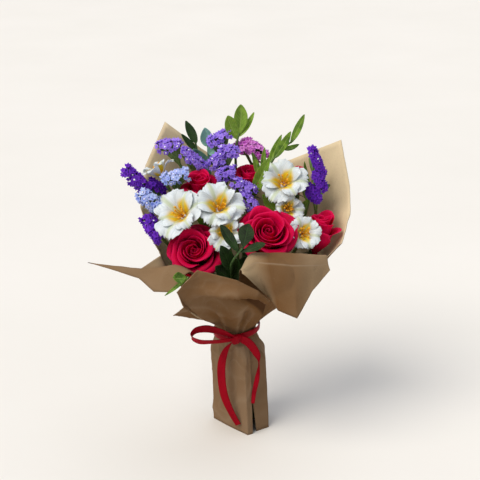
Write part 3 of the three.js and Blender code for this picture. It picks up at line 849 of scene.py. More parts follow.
@dataclass(frozen=True)
class TepalFinish:
    """White alstroemeria tepal with a yellow throat, fine streaks and a green back rib."""

    white: str = "#dbe4e8"
    shade: str = "#a9b9c4"
    yellow: str = "#e6c325"
    orange: str = "#e0a416"
    rib: str = "#b9c78f"

    def material(self) -> Material:
        """Makes the material.

        Returns:
            The material.
        """
        paint = Paint(
            "white_tepal",
            {
                "Roughness": 0.5,
                "Specular IOR Level": 0.3,
                "Subsurface Weight": 0.2,
                "Subsurface Scale": 0.004,
                "Subsurface Radius": (1.0, 0.9, 0.7),
            },
        )
        veins = paint.cloud(1.0, 3.0, paint.grain(38.0, 1.6))
        face = paint.cover(self.white, paint.step(veins, 0.4, 0.7), 0.4, self.shade)
        middle = paint.aside()
        reach = paint.plus(paint.along, paint.times(middle, 0.75))
        reach = paint.plus(reach, paint.times(paint.tone, 0.36))
        wild = paint.plus(reach, paint.times(veins, 0.16))
        face = paint.mix(paint.step(wild, 0.9, 0.62), face, self.yellow)
        face = paint.mix(paint.step(wild, 0.5, 0.3), face, self.orange)
        back = paint.times(paint.side, paint.step(middle, 0.12, 0.02))
        face = paint.cover(face, back, 0.6, self.rib)
        return paint.finish(face, veins, 0.3, 0.0005)


@dataclass(frozen=True)
class StamenFinish:
    """Yellow filaments and orange pollen."""

    yellow: str = "#f0b81c"
    orange: str = "#c9760f"

    def material(self) -> Material:
        """Makes the material.

        Returns:
            The material.
        """
        paint = Paint("stamen_pollen", {"Roughness": 0.7})
        speck = paint.cloud(900.0, 2.0)
        face = paint.mix(paint.step(speck, 0.4, 0.65), self.yellow, self.orange)
        return paint.finish(face, speck, 0.5, 0.0003)


@dataclass(frozen=True)
class FloretFinish:
    """Papery statice cup: olive at its foot, pleated, with painted shade deep in the cup, and pale at its
    frilled lip.
    """

    name: str
    face: str
    pale: str
    # The deep colour is painted shade deep in the cup.
    deep: str
    foot: str = "#5d6b3a"

    def material(self) -> Material:
        """Makes the material.

        Returns:
            The material.
        """
        paint = Paint(
            self.name,
            {
                "Roughness": 0.65,
                "Specular IOR Level": 0.2,
                "Subsurface Weight": 0.1,
                "Subsurface Scale": 0.002,
            },
        )
        pleats = paint.math("SINE", paint.times(paint.across, 75.0))
        face = paint.mix(paint.step(paint.tone, 0.1, 0.9), self.face, self.pale)
        # Painted shade: darker deep in the cup.
        face = paint.mix(paint.step(paint.along, 0.75, 0.4), face, self.deep)
        outer = paint.math("SUBTRACT", 1.0, paint.side)
        green = paint.times(outer, paint.step(paint.along, 0.6, 0.4))
        face = paint.mix(green, face, self.foot)
        face = paint.cover(face, paint.step(paint.along, 0.8, 1.0), 0.55, self.pale)
        return paint.finish(face, pleats, 0.4, 0.0003)


@dataclass(frozen=True)
class LeafFinish:
    """Waxy leaf with a pale rib, side veins and a dull back."""

    name: str
    dark: str
    light: str
    rib: str
    veins: float = 9.0
    gloss: float = 0.38

    def material(self) -> Material:
        """Makes the material.

        Returns:
            The material.
        """
        paint = Paint(
            self.name,
            {
                "Roughness": self.gloss,
                "Specular IOR Level": 0.28,
                "Subsurface Weight": 0.08,
                "Subsurface Scale": 0.002,
                "Subsurface Radius": (0.4, 1.0, 0.2),
            },
        )
        middle = paint.aside()
        slant = paint.math("SUBTRACT", paint.along, paint.times(middle, 0.55))
        waves = paint.math("SINE", paint.times(slant, self.veins * math.tau))
        side_veins = paint.step(waves, 0.86, 1.0)
        rib = paint.step(middle, 0.035, 0.012)
        mottled = paint.step(paint.cloud(110.0), 0.3, 0.7)
        face = paint.cover(self.dark, mottled, 0.6, self.light)
        face = paint.cover(face, paint.tone, 0.7, self.light)
        for where, most in ((side_veins, 0.3), (rib, 0.6), (paint.side, 0.3)):
            face = paint.cover(face, where, most, self.rib)
        relief = paint.plus(paint.times(side_veins, -0.5), paint.times(rib, -1.0))
        return paint.finish(face, relief, 0.5, 0.0005)


@dataclass(frozen=True)
class StalkFinish:
    """Green stalk with fine lengthwise streaks, browner towards its foot."""

    name: str
    green: str
    pale: str
    foot: str = "#6d6a3c"

    def material(self) -> Material:
        """Makes the material.

        Returns:
            The material.
        """
        paint = Paint(self.name, {"Roughness": 0.55})
        long = paint.node("ShaderNodeMapping", {"Vector": paint.spot, "Scale": (1.0, 1.0, 0.08)})
        streaks = paint.cloud(900.0, 3.0, long.outputs[0])
        face = paint.mix(paint.step(streaks, 0.35, 0.7), self.green, self.pale)
        face = paint.cover(face, paint.step(paint.along, 0.12, 0.0), 0.7, self.foot)
        return paint.finish(face, streaks, 0.3, 0.0003)


@dataclass(frozen=True)
class KraftFinish:
    """Brown kraft paper: short fibres, faint clouds, crests lighter with wear, painted shade in deep
    folds, a painted highlight on a rolled crest, and a lighter inside that is painted light.
    """

    # One paper in two colours: the darker outside is painted shade and the lighter inside is painted
    # light.
    outside: str = "#6a4a2a"
    inside: str = "#e4d2ae"
    dark: str = "#3c220e"
    pale: str = "#937f68"

    def material(self) -> Material:
        """Makes the material.

        Returns:
            The material.
        """
        paint = Paint("kraft_paper", {"Roughness": 0.85, "Specular IOR Level": 0.1})
        # Painted light: the inner face takes the lighter inside colour as far as its side attribute says,
        # and the outer face takes the darker outside colour.
        face = paint.mix(paint.side, self.outside, self.inside)
        clouds = paint.cloud(28.0, 4.0)
        face = paint.cover(face, paint.step(clouds, 0.35, 0.7), 0.12, self.pale)
        long = paint.node("ShaderNodeMapping", {"Vector": paint.spot, "Scale": (1.0, 1.0, 0.22)})
        fibres = paint.cloud(1500.0, 3.0, long.outputs[0])
        face = paint.cover(face, paint.step(fibres, 0.55, 0.75), 0.22, self.dark)
        flecks = paint.cloud(620.0, 2.0)
        face = paint.cover(face, paint.step(flecks, 0.66, 0.8), 0.3, self.pale)
        # Lighter where the tone is high: wear on crests and where handled, and the painted highlight
        # along a crest.
        face = paint.cover(face, paint.step(paint.tone, 0.35, 1.0), 0.7, self.pale)
        # Painted shade: low tones, under the tucked fold and between gathers, turn dark.
        face = paint.cover(face, paint.step(paint.tone, 0.35, 0.0), 0.8, self.dark)
        relief = paint.plus(fibres, paint.times(clouds, 2.0))
        return paint.finish(face, relief, 0.22, 0.0006)


@dataclass(frozen=True)
class SatinFinish:
    """Red satin: a fine weave across the strip and a soft lengthwise gloss."""

    face: str = "#930017"
    deep: str = "#6c0010"

    def material(self) -> Material:
        """Makes the material.

        Returns:
            The material.
        """
        gloss = {"Roughness": 0.38, "Specular IOR Level": 0.07, "Anisotropic": 0.5}
        paint = Paint("ribbon_satin", gloss)
        weft = paint.math("SINE", paint.times(paint.along, 1500.0))
        warp = paint.math("SINE", paint.times(paint.across, 120.0))
        face = paint.mix(paint.step(paint.cloud(60.0), 0.1, 0.6), self.deep, self.face)
        face = paint.cover(face, paint.step(paint.aside(), 0.42, 0.48), 0.5, self.deep)
        return paint.finish(face, paint.plus(weft, warp), 0.12, 0.0001)


@dataclass(frozen=True)
class FloorFinish:
    """Plain pale floor with the faintest clouding."""

    face: str = "#ebe9e5"
    shade: str = "#e4e2dd"

    def material(self) -> Material:
        """Makes the material.

        Returns:
            The material.
        """
        paint = Paint("studio_floor", {"Roughness": 0.75})
        return paint.finish(paint.mix(paint.cloud(3.0), self.face, self.shade))


@dataclass
class Workshop:
    """The growth trees and the finishes, made once and shared by every piece."""

    tubes: TubeTree
    sowing: SowingTree
    rose: Material
    white: Material
    stamen: Material
    corolla: Material
    kraft: Material
    satin: Material
    stalk: dict[Slot, Material]
    leaf: dict[Slot, Material]
    floret: dict[Slot, Material]


def open_workshop() -> Workshop:
    """Makes the trees and the finishes.

    Returns:
        The workshop with all of them.
    """
    leaves = {
        Slot.GREEN: LeafFinish("green_leaf", "#2f5611", "#90b23c", "#adc46a"),
        Slot.DARK: LeafFinish("dark_leaf", "#101e0a", "#2f4a20", "#3f5c2f", veins=8.0, gloss=0.42),
        Slot.BLUE_GREEN: LeafFinish(
            "blue_green_leaf", "#2f5f4a", "#a3dac7", "#9cc4b2", veins=7.0, gloss=0.5
        ),
    }
    stalks = {
        Slot.GREEN: StalkFinish("green_stalk", "#4b6a2c", "#7b9450"),
        Slot.DARK: StalkFinish("dark_stalk", "#263f1c", "#4c6a33"),
        Slot.BLUE_GREEN: StalkFinish("blue_green_stalk", "#4c7a63", "#82a58e"),
    }
    florets = {
        Slot.LAVENDER: FloretFinish("lavender_floret", "#6f4dc8", "#a284ee", "#452b92"),
        Slot.VIOLET: FloretFinish("violet_floret", "#4c149e", "#702fc4", "#2a0a70"),
        Slot.PALE_BLUE: FloretFinish("pale_blue_floret", "#8498e6", "#bccbfb", "#596fc6"),
        Slot.PINK: FloretFinish("pink_floret", "#bf4cc3", "#e48de2", "#7a2b84", foot="#75683f"),
    }
    return Workshop(
        tubes=TubeTree(),
        sowing=SowingTree(),
        rose=RoseFinish().material(),
        white=TepalFinish().material(),
        stamen=StamenFinish().material(),
        corolla=StalkFinish("statice_corolla", "#f1eefb", "#ffffff", "#e6e2f4").material(),
        kraft=KraftFinish().material(),
        satin=SatinFinish().material(),
        stalk={slot: finish.material() for slot, finish in stalks.items()},
        leaf={slot: finish.material() for slot, finish in leaves.items()},
        floret={slot: finish.material() for slot, finish in florets.items()},
    )


def settle(piece: Piece, node: str) -> None:
    """Lets a finished piece ride on the bouquet in place of its CAD node.

    Args:
        piece: The piece.
        node: The CAD node that it stands for.
    """
    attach(piece, BODY)
    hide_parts(node)
    log.info("%s stands for %s with %d faces", piece.name, node, len(piece.data.polygons))


@dataclass(frozen=True)
class Leaf:
    """A leaf blade from base to tip, folded along its rib and arched."""

    base: Point
    tip: Point
    width: float
    widest: float = 0.44
    toothed: bool = False
    light: float = 0.0

    def grow(self, skin: Skin, tone: float) -> None:
        """Adds the blade to a skin.

        Args:
            skin: What it is added to.
            tone: Its tone, which also sets how it waves.
        """
        base = vec(*self.base)
        rib = vec(*self.tip) - base
        side = unit(np.cross(rib, vec(0, -0.8, 0.6)))
        lifted = unit(np.cross(side, rib))
        long = np.linalg.norm(rib)
        phase = 17.0 * tone
        bias = math.log(0.5) / math.log(self.widest)

        def surface(u: Array, v: Array) -> Array:
            """The blade's middle.

            Args:
                u: Across it, from -1 to 1.
                v: Along it, from 0 to 1.

            Returns:
                The points.
            """
            spread = 0.06 + 0.98 * np.sin(math.pi * np.minimum(v, 0.997) ** bias) ** 0.72
            if self.toothed:
                teeth = np.mod(v * 11 + 0.3, 1.0)
                spread = spread * (1 + 0.11 * np.abs(u) ** 6 * (teeth - 0.5))
            fold = 0.2 * self.width * np.abs(u) ** 1.3 * spread
            arch = -0.08 * long * np.sin(math.pi * v)
            wave = 0.035 * self.width * np.sin(9 * v + phase + 2 * u) * u * u
            swell = 0.012 * self.width * np.cos(50 * (v - 0.27 * np.abs(u))) * (1 - np.abs(u))
            across = 0.5 * u * self.width * spread
            bend = 0.03 * long * np.sin(math.pi * v) * math.sin(phase)
            raised = fold + arch + wave + swell
            return (
                base
                + v[..., None] * rib
                + (across + bend)[..., None] * side
                + raised[..., None] * lifted
            )

        skin.blade(surface, (12, 26), 0.55, min(1.0, tone + self.light))


@dataclass
class StemPlan:
    """How one stem runs above the tie, and what the bundle needs to know of it."""

    aim: Array
    approach: Array
    radius: float
    beyond: Sequence[Array] = ()

    def strand(self, slot: Array) -> Strand:
        """The stem's line: straight up the bundle, then one smooth curve to its aim.

        Args:
            slot: Where it stands in the bundle.

        Returns:
            The line with its radii.
        """
        foot = vec(slot[0] * FOOT_SPREAD, slot[1] * FOOT_SPREAD, 0)
        tie = vec(slot[0] + TIE_SHIFT, slot[1], TIE_HEIGHT + 0.8 * NECK_HALF)
        leave = tie + 0.14 * (self.approach - tie)
        leave[2] = tie[2] + 0.4 * (self.approach[2] - tie[2])
        low = foot + STEM_STEPS[:, None] * (tie - foot)
        points = [low, bezier(tie, leave, self.approach, self.aim, RISE_POINTS)]
        slimmer = smooth(np.linspace(0, 1, RISE_POINTS), 0, 0.3)
        taper = STEM_ROUND + (self.radius - STEM_ROUND) * slimmer
        radii = [np.full(len(low), STEM_ROUND), taper]
        if self.beyond:
            line = np.array([self.aim, *self.beyond])
            points.append(through(line, np.linspace(0, 1, BEYOND_POINTS)[1:]))
            joints = np.linspace(0, len(self.beyond), BEYOND_POINTS)
            radii.append(self.radius * 0.85 ** joints[1:])
        return Strand(np.concatenate(points), np.concatenate(radii))


def bundle_slots(plans: Sequence[StemPlan]) -> list[Array]:
    """Gives each stem its place in the bundle, so that no two cross on the way up.

    Args:
        plans: The stems, in the order of the model.

    Returns:
        A place in the bundle for each.
    """
    found = []
    for row in range(-6, 7):
        for column in range(-6, 7):
            x = STEM_PITCH * (column + row / 2)
            y = STEM_PITCH * row * math.sin(math.pi / 3)
            found.append(vec(x, y))
    found.sort(key=lambda slot: math.hypot(slot[0] - 0.3, slot[1] - 0.6))
    slots = found[: len(plans)]
    leans = [
        vec(plan.aim[0] - TIE_SHIFT, plan.aim[1]) / (plan.aim[2] - TIE_HEIGHT) for plan in plans
    ]
    swapped = True
    while swapped:
        swapped = False
        for i in range(len(plans)):
            for j in range(i + 1, len(plans)):
                if np.dot(slots[i] - slots[j], leans[i] - leans[j]) < -1e-9:
                    slots[i], slots[j] = slots[j], slots[i]
                    swapped = True
    return slots


@dataclass
class Rose:
    """A red rose: a tight spiral heart, rings of cupped petals with rolled lips, and its stem.

    Attributes:
        number: Its number in the model.
        at: The middle of its bloom.
        faces: The way that the bloom faces.
        radius: How wide the bloom is, from its axis.
        height: How high it is.
        whorls: How far out each ring of petals stands, up to 1, and how many petals it has.
        leaves: The tip and the width of each leaf.
        heart: How many petals the heart has.
        turn: How far the rings are turned, in radians.
        curl: How much the lips roll, beside the usual 1.
        core: Radius and height of the core's rings, as shares of the bloom's.
        hip: Where along its axis the hip under the bloom swells, and to what radius.
        petal_foot: How far from the axis the petals start.
        roll_start: How far up a petal its lip starts to roll, from 0 to 1.
        roll_length: How long the lip is, in the same measure.
    """

    number: int
    at: Point
    faces: Point
    radius: float
    height: float
    whorls: tuple[tuple[float, int], ...]
    leaves: tuple[tuple[Point, float], ...] = ()
    heart: int = 6
    turn: float = 0.0
    curl: float = 1.0
    core: Rings = ((0.24, 0.22), (0.26, 0.42), (0.14, 0.6), (0.05, 0.7))
    hip: Rings = (
        (-10.0, 2.2), (-8.0, 2.5), (-6.0, 3.3), (-4.2, 4.2), (-2.6, 4.5), (-1.4, 4.3), (-0.5, 3.6),
    )
    petal_foot: float = 2.5
    roll_start: float = 0.8
    roll_length: float = 0.2

    def seat(self) -> Seat:
        """Where the bloom sits."""
        faces = unit(vec(*self.faces))
        return Seat(vec(*self.at) - 0.55 * self.height * faces, faces)

    def plan(self) -> StemPlan:
        """How its stem runs."""
        seat = self.seat()
        return StemPlan(seat.origin - 3 * seat.faces, seat.origin - 20 * seat.faces, 2.6)

    def petal(self, outward: float, start: float, spread: float, chance: Array) -> Surface:
        """One petal in the bloom's own frame.

        Args:
            outward: How far out it stands, from 0 at the heart to 1.
            start: The angle of its middle.
            spread: Half the angle that it spans.
            chance: Four random numbers from 0 to 1, which set it apart from its neighbours.

        Returns:
            The surface through its middle.
        """
        phase = math.tau * chance[0]
        roll = np.interp(outward, [0, 0.4, 0.7, 1], [0.15, 0.5, 1.5, 2.3])
        roll *= self.curl * (0.55 + 0.9 * chance[1])
        lip = self.height * np.interp(outward, [0, 0.4, 1], [0.05, 0.1, 0.24])
        rho = lip / roll
        crest = rho * math.sin(min(roll, math.pi / 2))
        flare = 0.08 * self.radius * outward
        reach = self.radius * (0.06 + 0.94 * outward) - rho * (1 - math.cos(roll)) - flare
        tall = np.interp(outward, [0, 0.3, 0.6, 0.8, 1], [0.8, 0.9, 0.96, 0.86, 0.68])
        rise = self.height * (tall + 0.12 * (chance[2] - 0.5)) - crest
        closing = 0.6 * max(0.0, 1 - outward / 0.36)
        skew = 0.16 * (chance[3] - 0.5)
        pointed = 0.12 * smooth(outward, 0.4, 0.8)

        def surface(u: Array, v: Array) -> Array:
            """The petal's middle.

            Args:
                u: Across it, from -1 to 1.
                v: Along it, from 0 to 1.

            Returns:
                The points.
            """
            ripple = 0.03 * np.sin(4.3 * u + phase) + 0.014 * np.sin(9.0 * u - phase)
            corner = 0.17 * np.abs(u) ** 2.4 + pointed * (np.abs(u) ** 1.2 - 0.4)
            lift = v * (1 - corner + ripple + skew * u)
            body = np.minimum(lift / self.roll_start, 1)
            past = np.clip((lift - self.roll_start) / self.roll_length, 0, 1.35)
            swell = np.sin(body * math.pi / 2)
            angle = start + u * spread * (0.42 + 0.58 * swell)
            turn = past * roll * (1 + 0.35 * u * u * outward - 0.3 * skew * u)
            radius = self.petal_foot + (reach - self.petal_foot) * swell**0.85
            radius = radius + 0.09 * self.radius * u * swell
            radius = radius * (1 - closing * smooth(lift, 0.5, 1.05))
            radius = radius + rho * (1 - np.cos(turn)) + flare * lift**3
            radius = radius + 0.04 * self.radius * outward * np.sin(2.6 * u + phase) * lift**2
            z = 1 + rise * body + rho * np.sin(turn)
            z = z + 0.035 * self.height * np.sin(3.1 * u + 2 * phase) * lift**3 * outward
            return polar(angle, np.maximum(radius, 0.3), z)

        return surface

    def bloom(self, shop: Workshop) -> None:
        """Makes the petals, from the heart outwards.

        Args:
            shop: The trees and the finishes.
        """
        skin = Skin()
        seat = self.seat()
        dice = np.random.default_rng(ROSE_SEED + self.number)
        cells = (18, 20) if self.radius > LARGE_ROSE else (14, 16)
        profile = [(3.4, 0.0), (4.4, 0.4)]
        profile += [(self.radius * wide, self.height * high) for wide, high in self.core]
        # The core's tone of 0 and the heart petals' low tones paint them darker: painted shade deep in
        # the bloom.
        skin.lathe(profile, 16, seat, 0.0)
        for k in range(self.heart):
            outward = 0.02 + 0.28 * k / (self.heart - 1)
            surface = self.petal(outward, k * GOLDEN_ANGLE, math.radians(98), dice.random(4))
            skin.blade(surface, cells, 0.6, 0.2 + 0.3 * dice.random(), seat)
        for k, (outward, petals) in enumerate(self.whorls):
            spread = math.radians(268 / petals)
            for petal in range(petals):
                place = min(1.0, outward + 0.05 * (dice.random() - 0.5))
                start = (petal + 0.41 * k + 0.16 * (dice.random() - 0.5)) / petals * math.tau
                surface = self.petal(place, start + self.turn, spread, dice.random(4))
                skin.blade(surface, cells, 0.7, 0.3 + 0.7 * dice.random(), seat)
        piece = skin.object(f"rose_{self.number}_petals", shop.rose)
        settle(piece, f"rose_{self.number}_bloom")

    def sepal(self, angle: float) -> Surface:
        """One sepal, spread below the bloom.

        Args:
            angle: Where it points.

        Returns:
            The surface through its middle.
        """

        def surface(u: Array, v: Array) -> Array:
            """The sepal's middle.

            Args:
                u: Across it, from -1 to 1.
                v: Along it, from 0 to 1.

            Returns:
                The points.
            """
            width = 2.7 * (1 - 0.96 * v**1.4)
            drop = -1.3 - 3.2 * v * v + 0.5 * np.abs(u) * (1 - v)
            middle = polar(angle, 3.2 + 9.3 * v, drop)
            return middle + (u * width)[..., None] * vec(-math.sin(angle), math.cos(angle), 0)

        return surface

    def greenery(self, shop: Workshop, slot: Array) -> None:
        """Makes the stem with its hip, and the sepals and leaves.

        Args:
            shop: The trees and the finishes.
            slot: Where its stem stands in the bundle.
        """
        seat = self.seat()
        node = f"rose_{self.number}_stem"
        along, girth = np.array(self.hip).T
        hip = Strand(seat.origin + along[:, None] * seat.faces, girth)
        strands = [self.plan().strand(slot), hip]
        stalk = shop.tubes.tubes(f"rose_{self.number}_stalk", strands, 12, shop.stalk[Slot.DARK])
        settle(stalk, node)
        skin = Skin()
        for k in range(5):
            skin.blade(self.sepal(k / 5 * math.tau), (6, 10), 0.5, 0.3 + 0.1 * k, seat)
        base = tuple(seat.origin - 8 * seat.faces)
        for k, (tip, width) in enumerate(self.leaves):
            Leaf(base, tip, width, toothed=True).grow(skin, 0.2 + 0.3 * k)
        settle(skin.object(f"rose_{self.number}_leaves", shop.leaf[Slot.DARK]), node)

    def build(self, shop: Workshop, slot: Array) -> None:
        """Makes the bloom and the greenery."""
        self.bloom(shop)
        self.greenery(shop, slot)


@dataclass(frozen=True)
class WhiteBloom:
    """One alstroemeria bloom: three broad outer tepals, three inner ones, and its stamens."""

    name: str
    at: Point
    faces: Point
    radius: float
    tepal_foot: float = 3.0

    def seat(self) -> Seat:
        """Where the bloom sits."""
        faces = unit(vec(*self.faces))
        return Seat(vec(*self.at) - 0.6 * self.radius * faces, faces)

    def tepal(
        self, angle: float, reach: float, length: float, width: float, phase: float
    ) -> Surface:
        """One ruffled tepal in the bloom's own frame.

        Args:
            angle: Where it points.
            reach: How far out its tip stands.
            length: How high it stands.
            width: Half its width.
            phase: What sets its ruffles apart from its neighbours'.

        Returns:
            The surface through its middle.
        """
        side = vec(-math.sin(angle), math.cos(angle), 0)

        def surface(u: Array, v: Array) -> Array:
            """The tepal's middle.

            Args:
                u: Across it, from -1 to 1.
                v: Along it, from 0 to 1.

            Returns:
                The points.
            """
            around = np.arctan2(u * 0.9, v - 0.35)
            rim = smooth(np.maximum(np.abs(u), v), 0.5, 1.0)
            frill = 0.6 * np.sin(13 * around + phase) + 0.5 * np.sin(23 * around - 2 * phase)
            wave = np.sin(4.6 * around + 1.7 * phase)
            notch = 0.05 * np.sin(23 * around + phase) * rim
            lift = v * (1 - 0.16 * np.abs(u) ** 2.4) * (1 + notch)
            spread = 0.16 + 0.84 * np.sin(math.pi * 0.74 * np.minimum(lift, 1.02))
            height = length * (0.22 + 0.78 * np.sin(lift * math.pi / 2)) - 0.2 * length * lift**5
            height = height + self.radius * rim * (0.022 * frill + 0.06 * wave)
            height = height + 0.13 * self.radius * u * u * lift
            out = self.tepal_foot + (reach - self.tepal_foot) * lift**1.25
            out = out - 0.05 * self.radius * u * u * lift
            out = out + self.radius * rim * (0.014 * frill + 0.035 * wave)
            across = u * width * spread * (1 + 0.025 * frill * rim + 0.03 * wave * rim)
            return polar(angle, out, height) + across[..., None] * side

        return surface

    def build(self, shop: Workshop, seed: int) -> None:
        """Makes the tepals and the stamens.

        Args:
            shop: The trees and the finishes.
            seed: Where its random draws start.
        """
        dice = np.random.default_rng(seed)
        seat = self.seat()
        length = 0.95 * self.radius
        large = self.radius > LARGE_BLOOM
        cells = (22, 22) if large else (16, 16)
        skin = Skin()
        tube = [(2.2, 0.0), (2.7, 0.5), (3.2, 0.12 * length), (4.0, 0.3 * length)]
        skin.lathe(tube, 12, seat, 1.0)
        for k in range(6):
            angle = k / 6 * math.tau + 0.3 * (dice.random() - 0.5)
            outer = k % 2 == 0
            reach = self.radius * (1.12 if outer else 0.94) * (0.88 + 0.22 * dice.random())
            width = self.radius * (0.64 if outer else 0.44) * (0.9 + 0.2 * dice.random())
            tall = length * (1.0 if outer else 1.13) * (0.9 + 0.2 * dice.random())
            surface = self.tepal(angle, reach, tall, width, 6 * dice.random())
            tone = (0.85 if outer else 0.05) + (0.0 if large else 0.5)
            skin.blade(surface, cells, 0.55, tone, seat)
        settle(skin.object(f"{self.name}_tepals", shop.white), self.name)
        filaments = []
        tips = []
        steps = np.linspace(0.1, 1, 8)
        for k in range(9 if large else 6):
            lean = 0.12 + 0.2 * dice.random()
            out = 0.6 + self.radius * lean * steps**1.4
            high = length * (0.2 + (0.62 + 0.24 * dice.random()) * steps)
            line = seat.turned(polar(k * GOLDEN_ANGLE, out, high))
            filaments.append(Strand(line, np.linspace(0.55, 0.38, 8)))
            tips.append((line[-1], unit(line[-1] - line[-3] + 0.8 * dice.normal(size=3)), 1.0))
        tubes = shop.tubes.tubes(f"{self.name}_filaments", filaments, 6, shop.stamen)
        settle(tubes, self.name)
        anther = Skin()
        bean = [(0.3, -1.7), (0.9, -1.2), (1.15, -0.2), (1.05, 0.8), (0.5, 1.7)]
        anther.lathe(bean, 8, Seat(vec(0, 0, 0), vec(0, 0, 1)))
        sown = shop.sowing.sow(f"{self.name}_anthers", tips, anther, shop.stamen, Seed=seed)
        settle(sown, self.name)


@dataclass
class Alstroemeria:
    """A stem of white alstroemeria that forks to its blooms."""

    number: int
    fork: Point
    blooms: tuple[tuple[Point, Point, float], ...]
    leaves: tuple[Leaf, ...]

    def plan(self) -> StemPlan:
        """How its stem runs."""
        fork = vec(*self.fork)
        return StemPlan(fork, fork + vec(0, 0, -30), 2.5)

    def build(self, shop: Workshop, slot: Array) -> None:
        """Makes the stem with its forks and leaves, and every bloom.

        Args:
            shop: The trees and the finishes.
            slot: Where its stem stands in the bundle.
        """
        name = f"alstroemeria_{self.number}"
        fork = vec(*self.fork)
        strands = [self.plan().strand(slot)]
        for k, (at, faces, radius) in enumerate(self.blooms):
            bloom = WhiteBloom(f"{name}_bloom_{k + 1}", at, faces, radius)
            seat = bloom.seat()
            before = seat.origin - 14 * seat.faces
            rise = fork + 0.35 * (before - fork) + vec(0, 0, 6)
            line = bezier(fork - vec(0, 0, 4), rise, before, seat.origin - 0.2 * seat.faces, 20)
            radii = np.concatenate([np.linspace(2.0, 1.5, 13), np.linspace(1.55, 2.5, 7)])
            strands.append(Strand(line, radii))
            bloom.build(shop, 10 * self.number + k)
        stalk = shop.tubes.tubes(f"{name}_stalk", strands, 12, shop.stalk[Slot.GREEN])
        settle(stalk, f"{name}_stem")
        skin = Skin()
        for leaf in self.leaves:
            leaf.grow(skin, 0.4)
        settle(skin.object(f"{name}_leaves", shop.leaf[Slot.GREEN]), f"{name}_stem")


def statice_cup() -> Skin:
    """One papery statice floret: a narrow olive calyx that opens to a frilled, pleated lip.

    Each row of its profile is a ring's radius, height, frill, and place along and side.

    Returns:
        The floret, standing on the origin.
    """
    sides = 10
    angles = np.arange(sides) * math.tau / sides
    frill = np.where(np.arange(sides) % 2 == 0, 1.0, -1.0)
    profile = [
        (0.6, -2.6, 0.0, 0.0, 0),
        (1.0, 1.0, 0.0, 0.4, 0),
        (2.0, 3.0, 0.3, 0.75, 0),
        (3.3, 4.2, 1.0, 1.0, 0),
        (2.9, 4.5, 1.0, 1.0, 1),
        (1.1, 3.1, 0.2, 0.75, 1),
    ]
    rings = [
        polar(angles, radius + 0.45 * depth * frill, z + 0.7 * depth * frill)
        for radius, z, depth, _, _ in profile
    ]
    skin = Skin()
    skin.shell(np.array(rings))
    skin.places[-1][:-2, 1] = np.repeat([row[3] for row in profile], sides)
    skin.places[-1][:-2, 2] = np.repeat([row[4] for row in profile], sides)
    skin.places[-1][-1, 1:] = (0.5, 1.0)
    return skin


def statice_star() -> Skin:
    """The tiny white corolla that stands in a floret, with five points.

    Returns:
        The corolla, in its floret's place.
    """
    angles = np.arange(10) * math.tau / 10
    reach = np.where(np.arange(10) % 2 == 0, 1.4, 0.7)
    profile = ((0.3, 2.6), (reach, 4.4), (0.9 * reach, 4.7))
    skin = Skin()
    skin.shell(np.array([polar(angles, radius, z) for radius, z in profile]))
    return skin


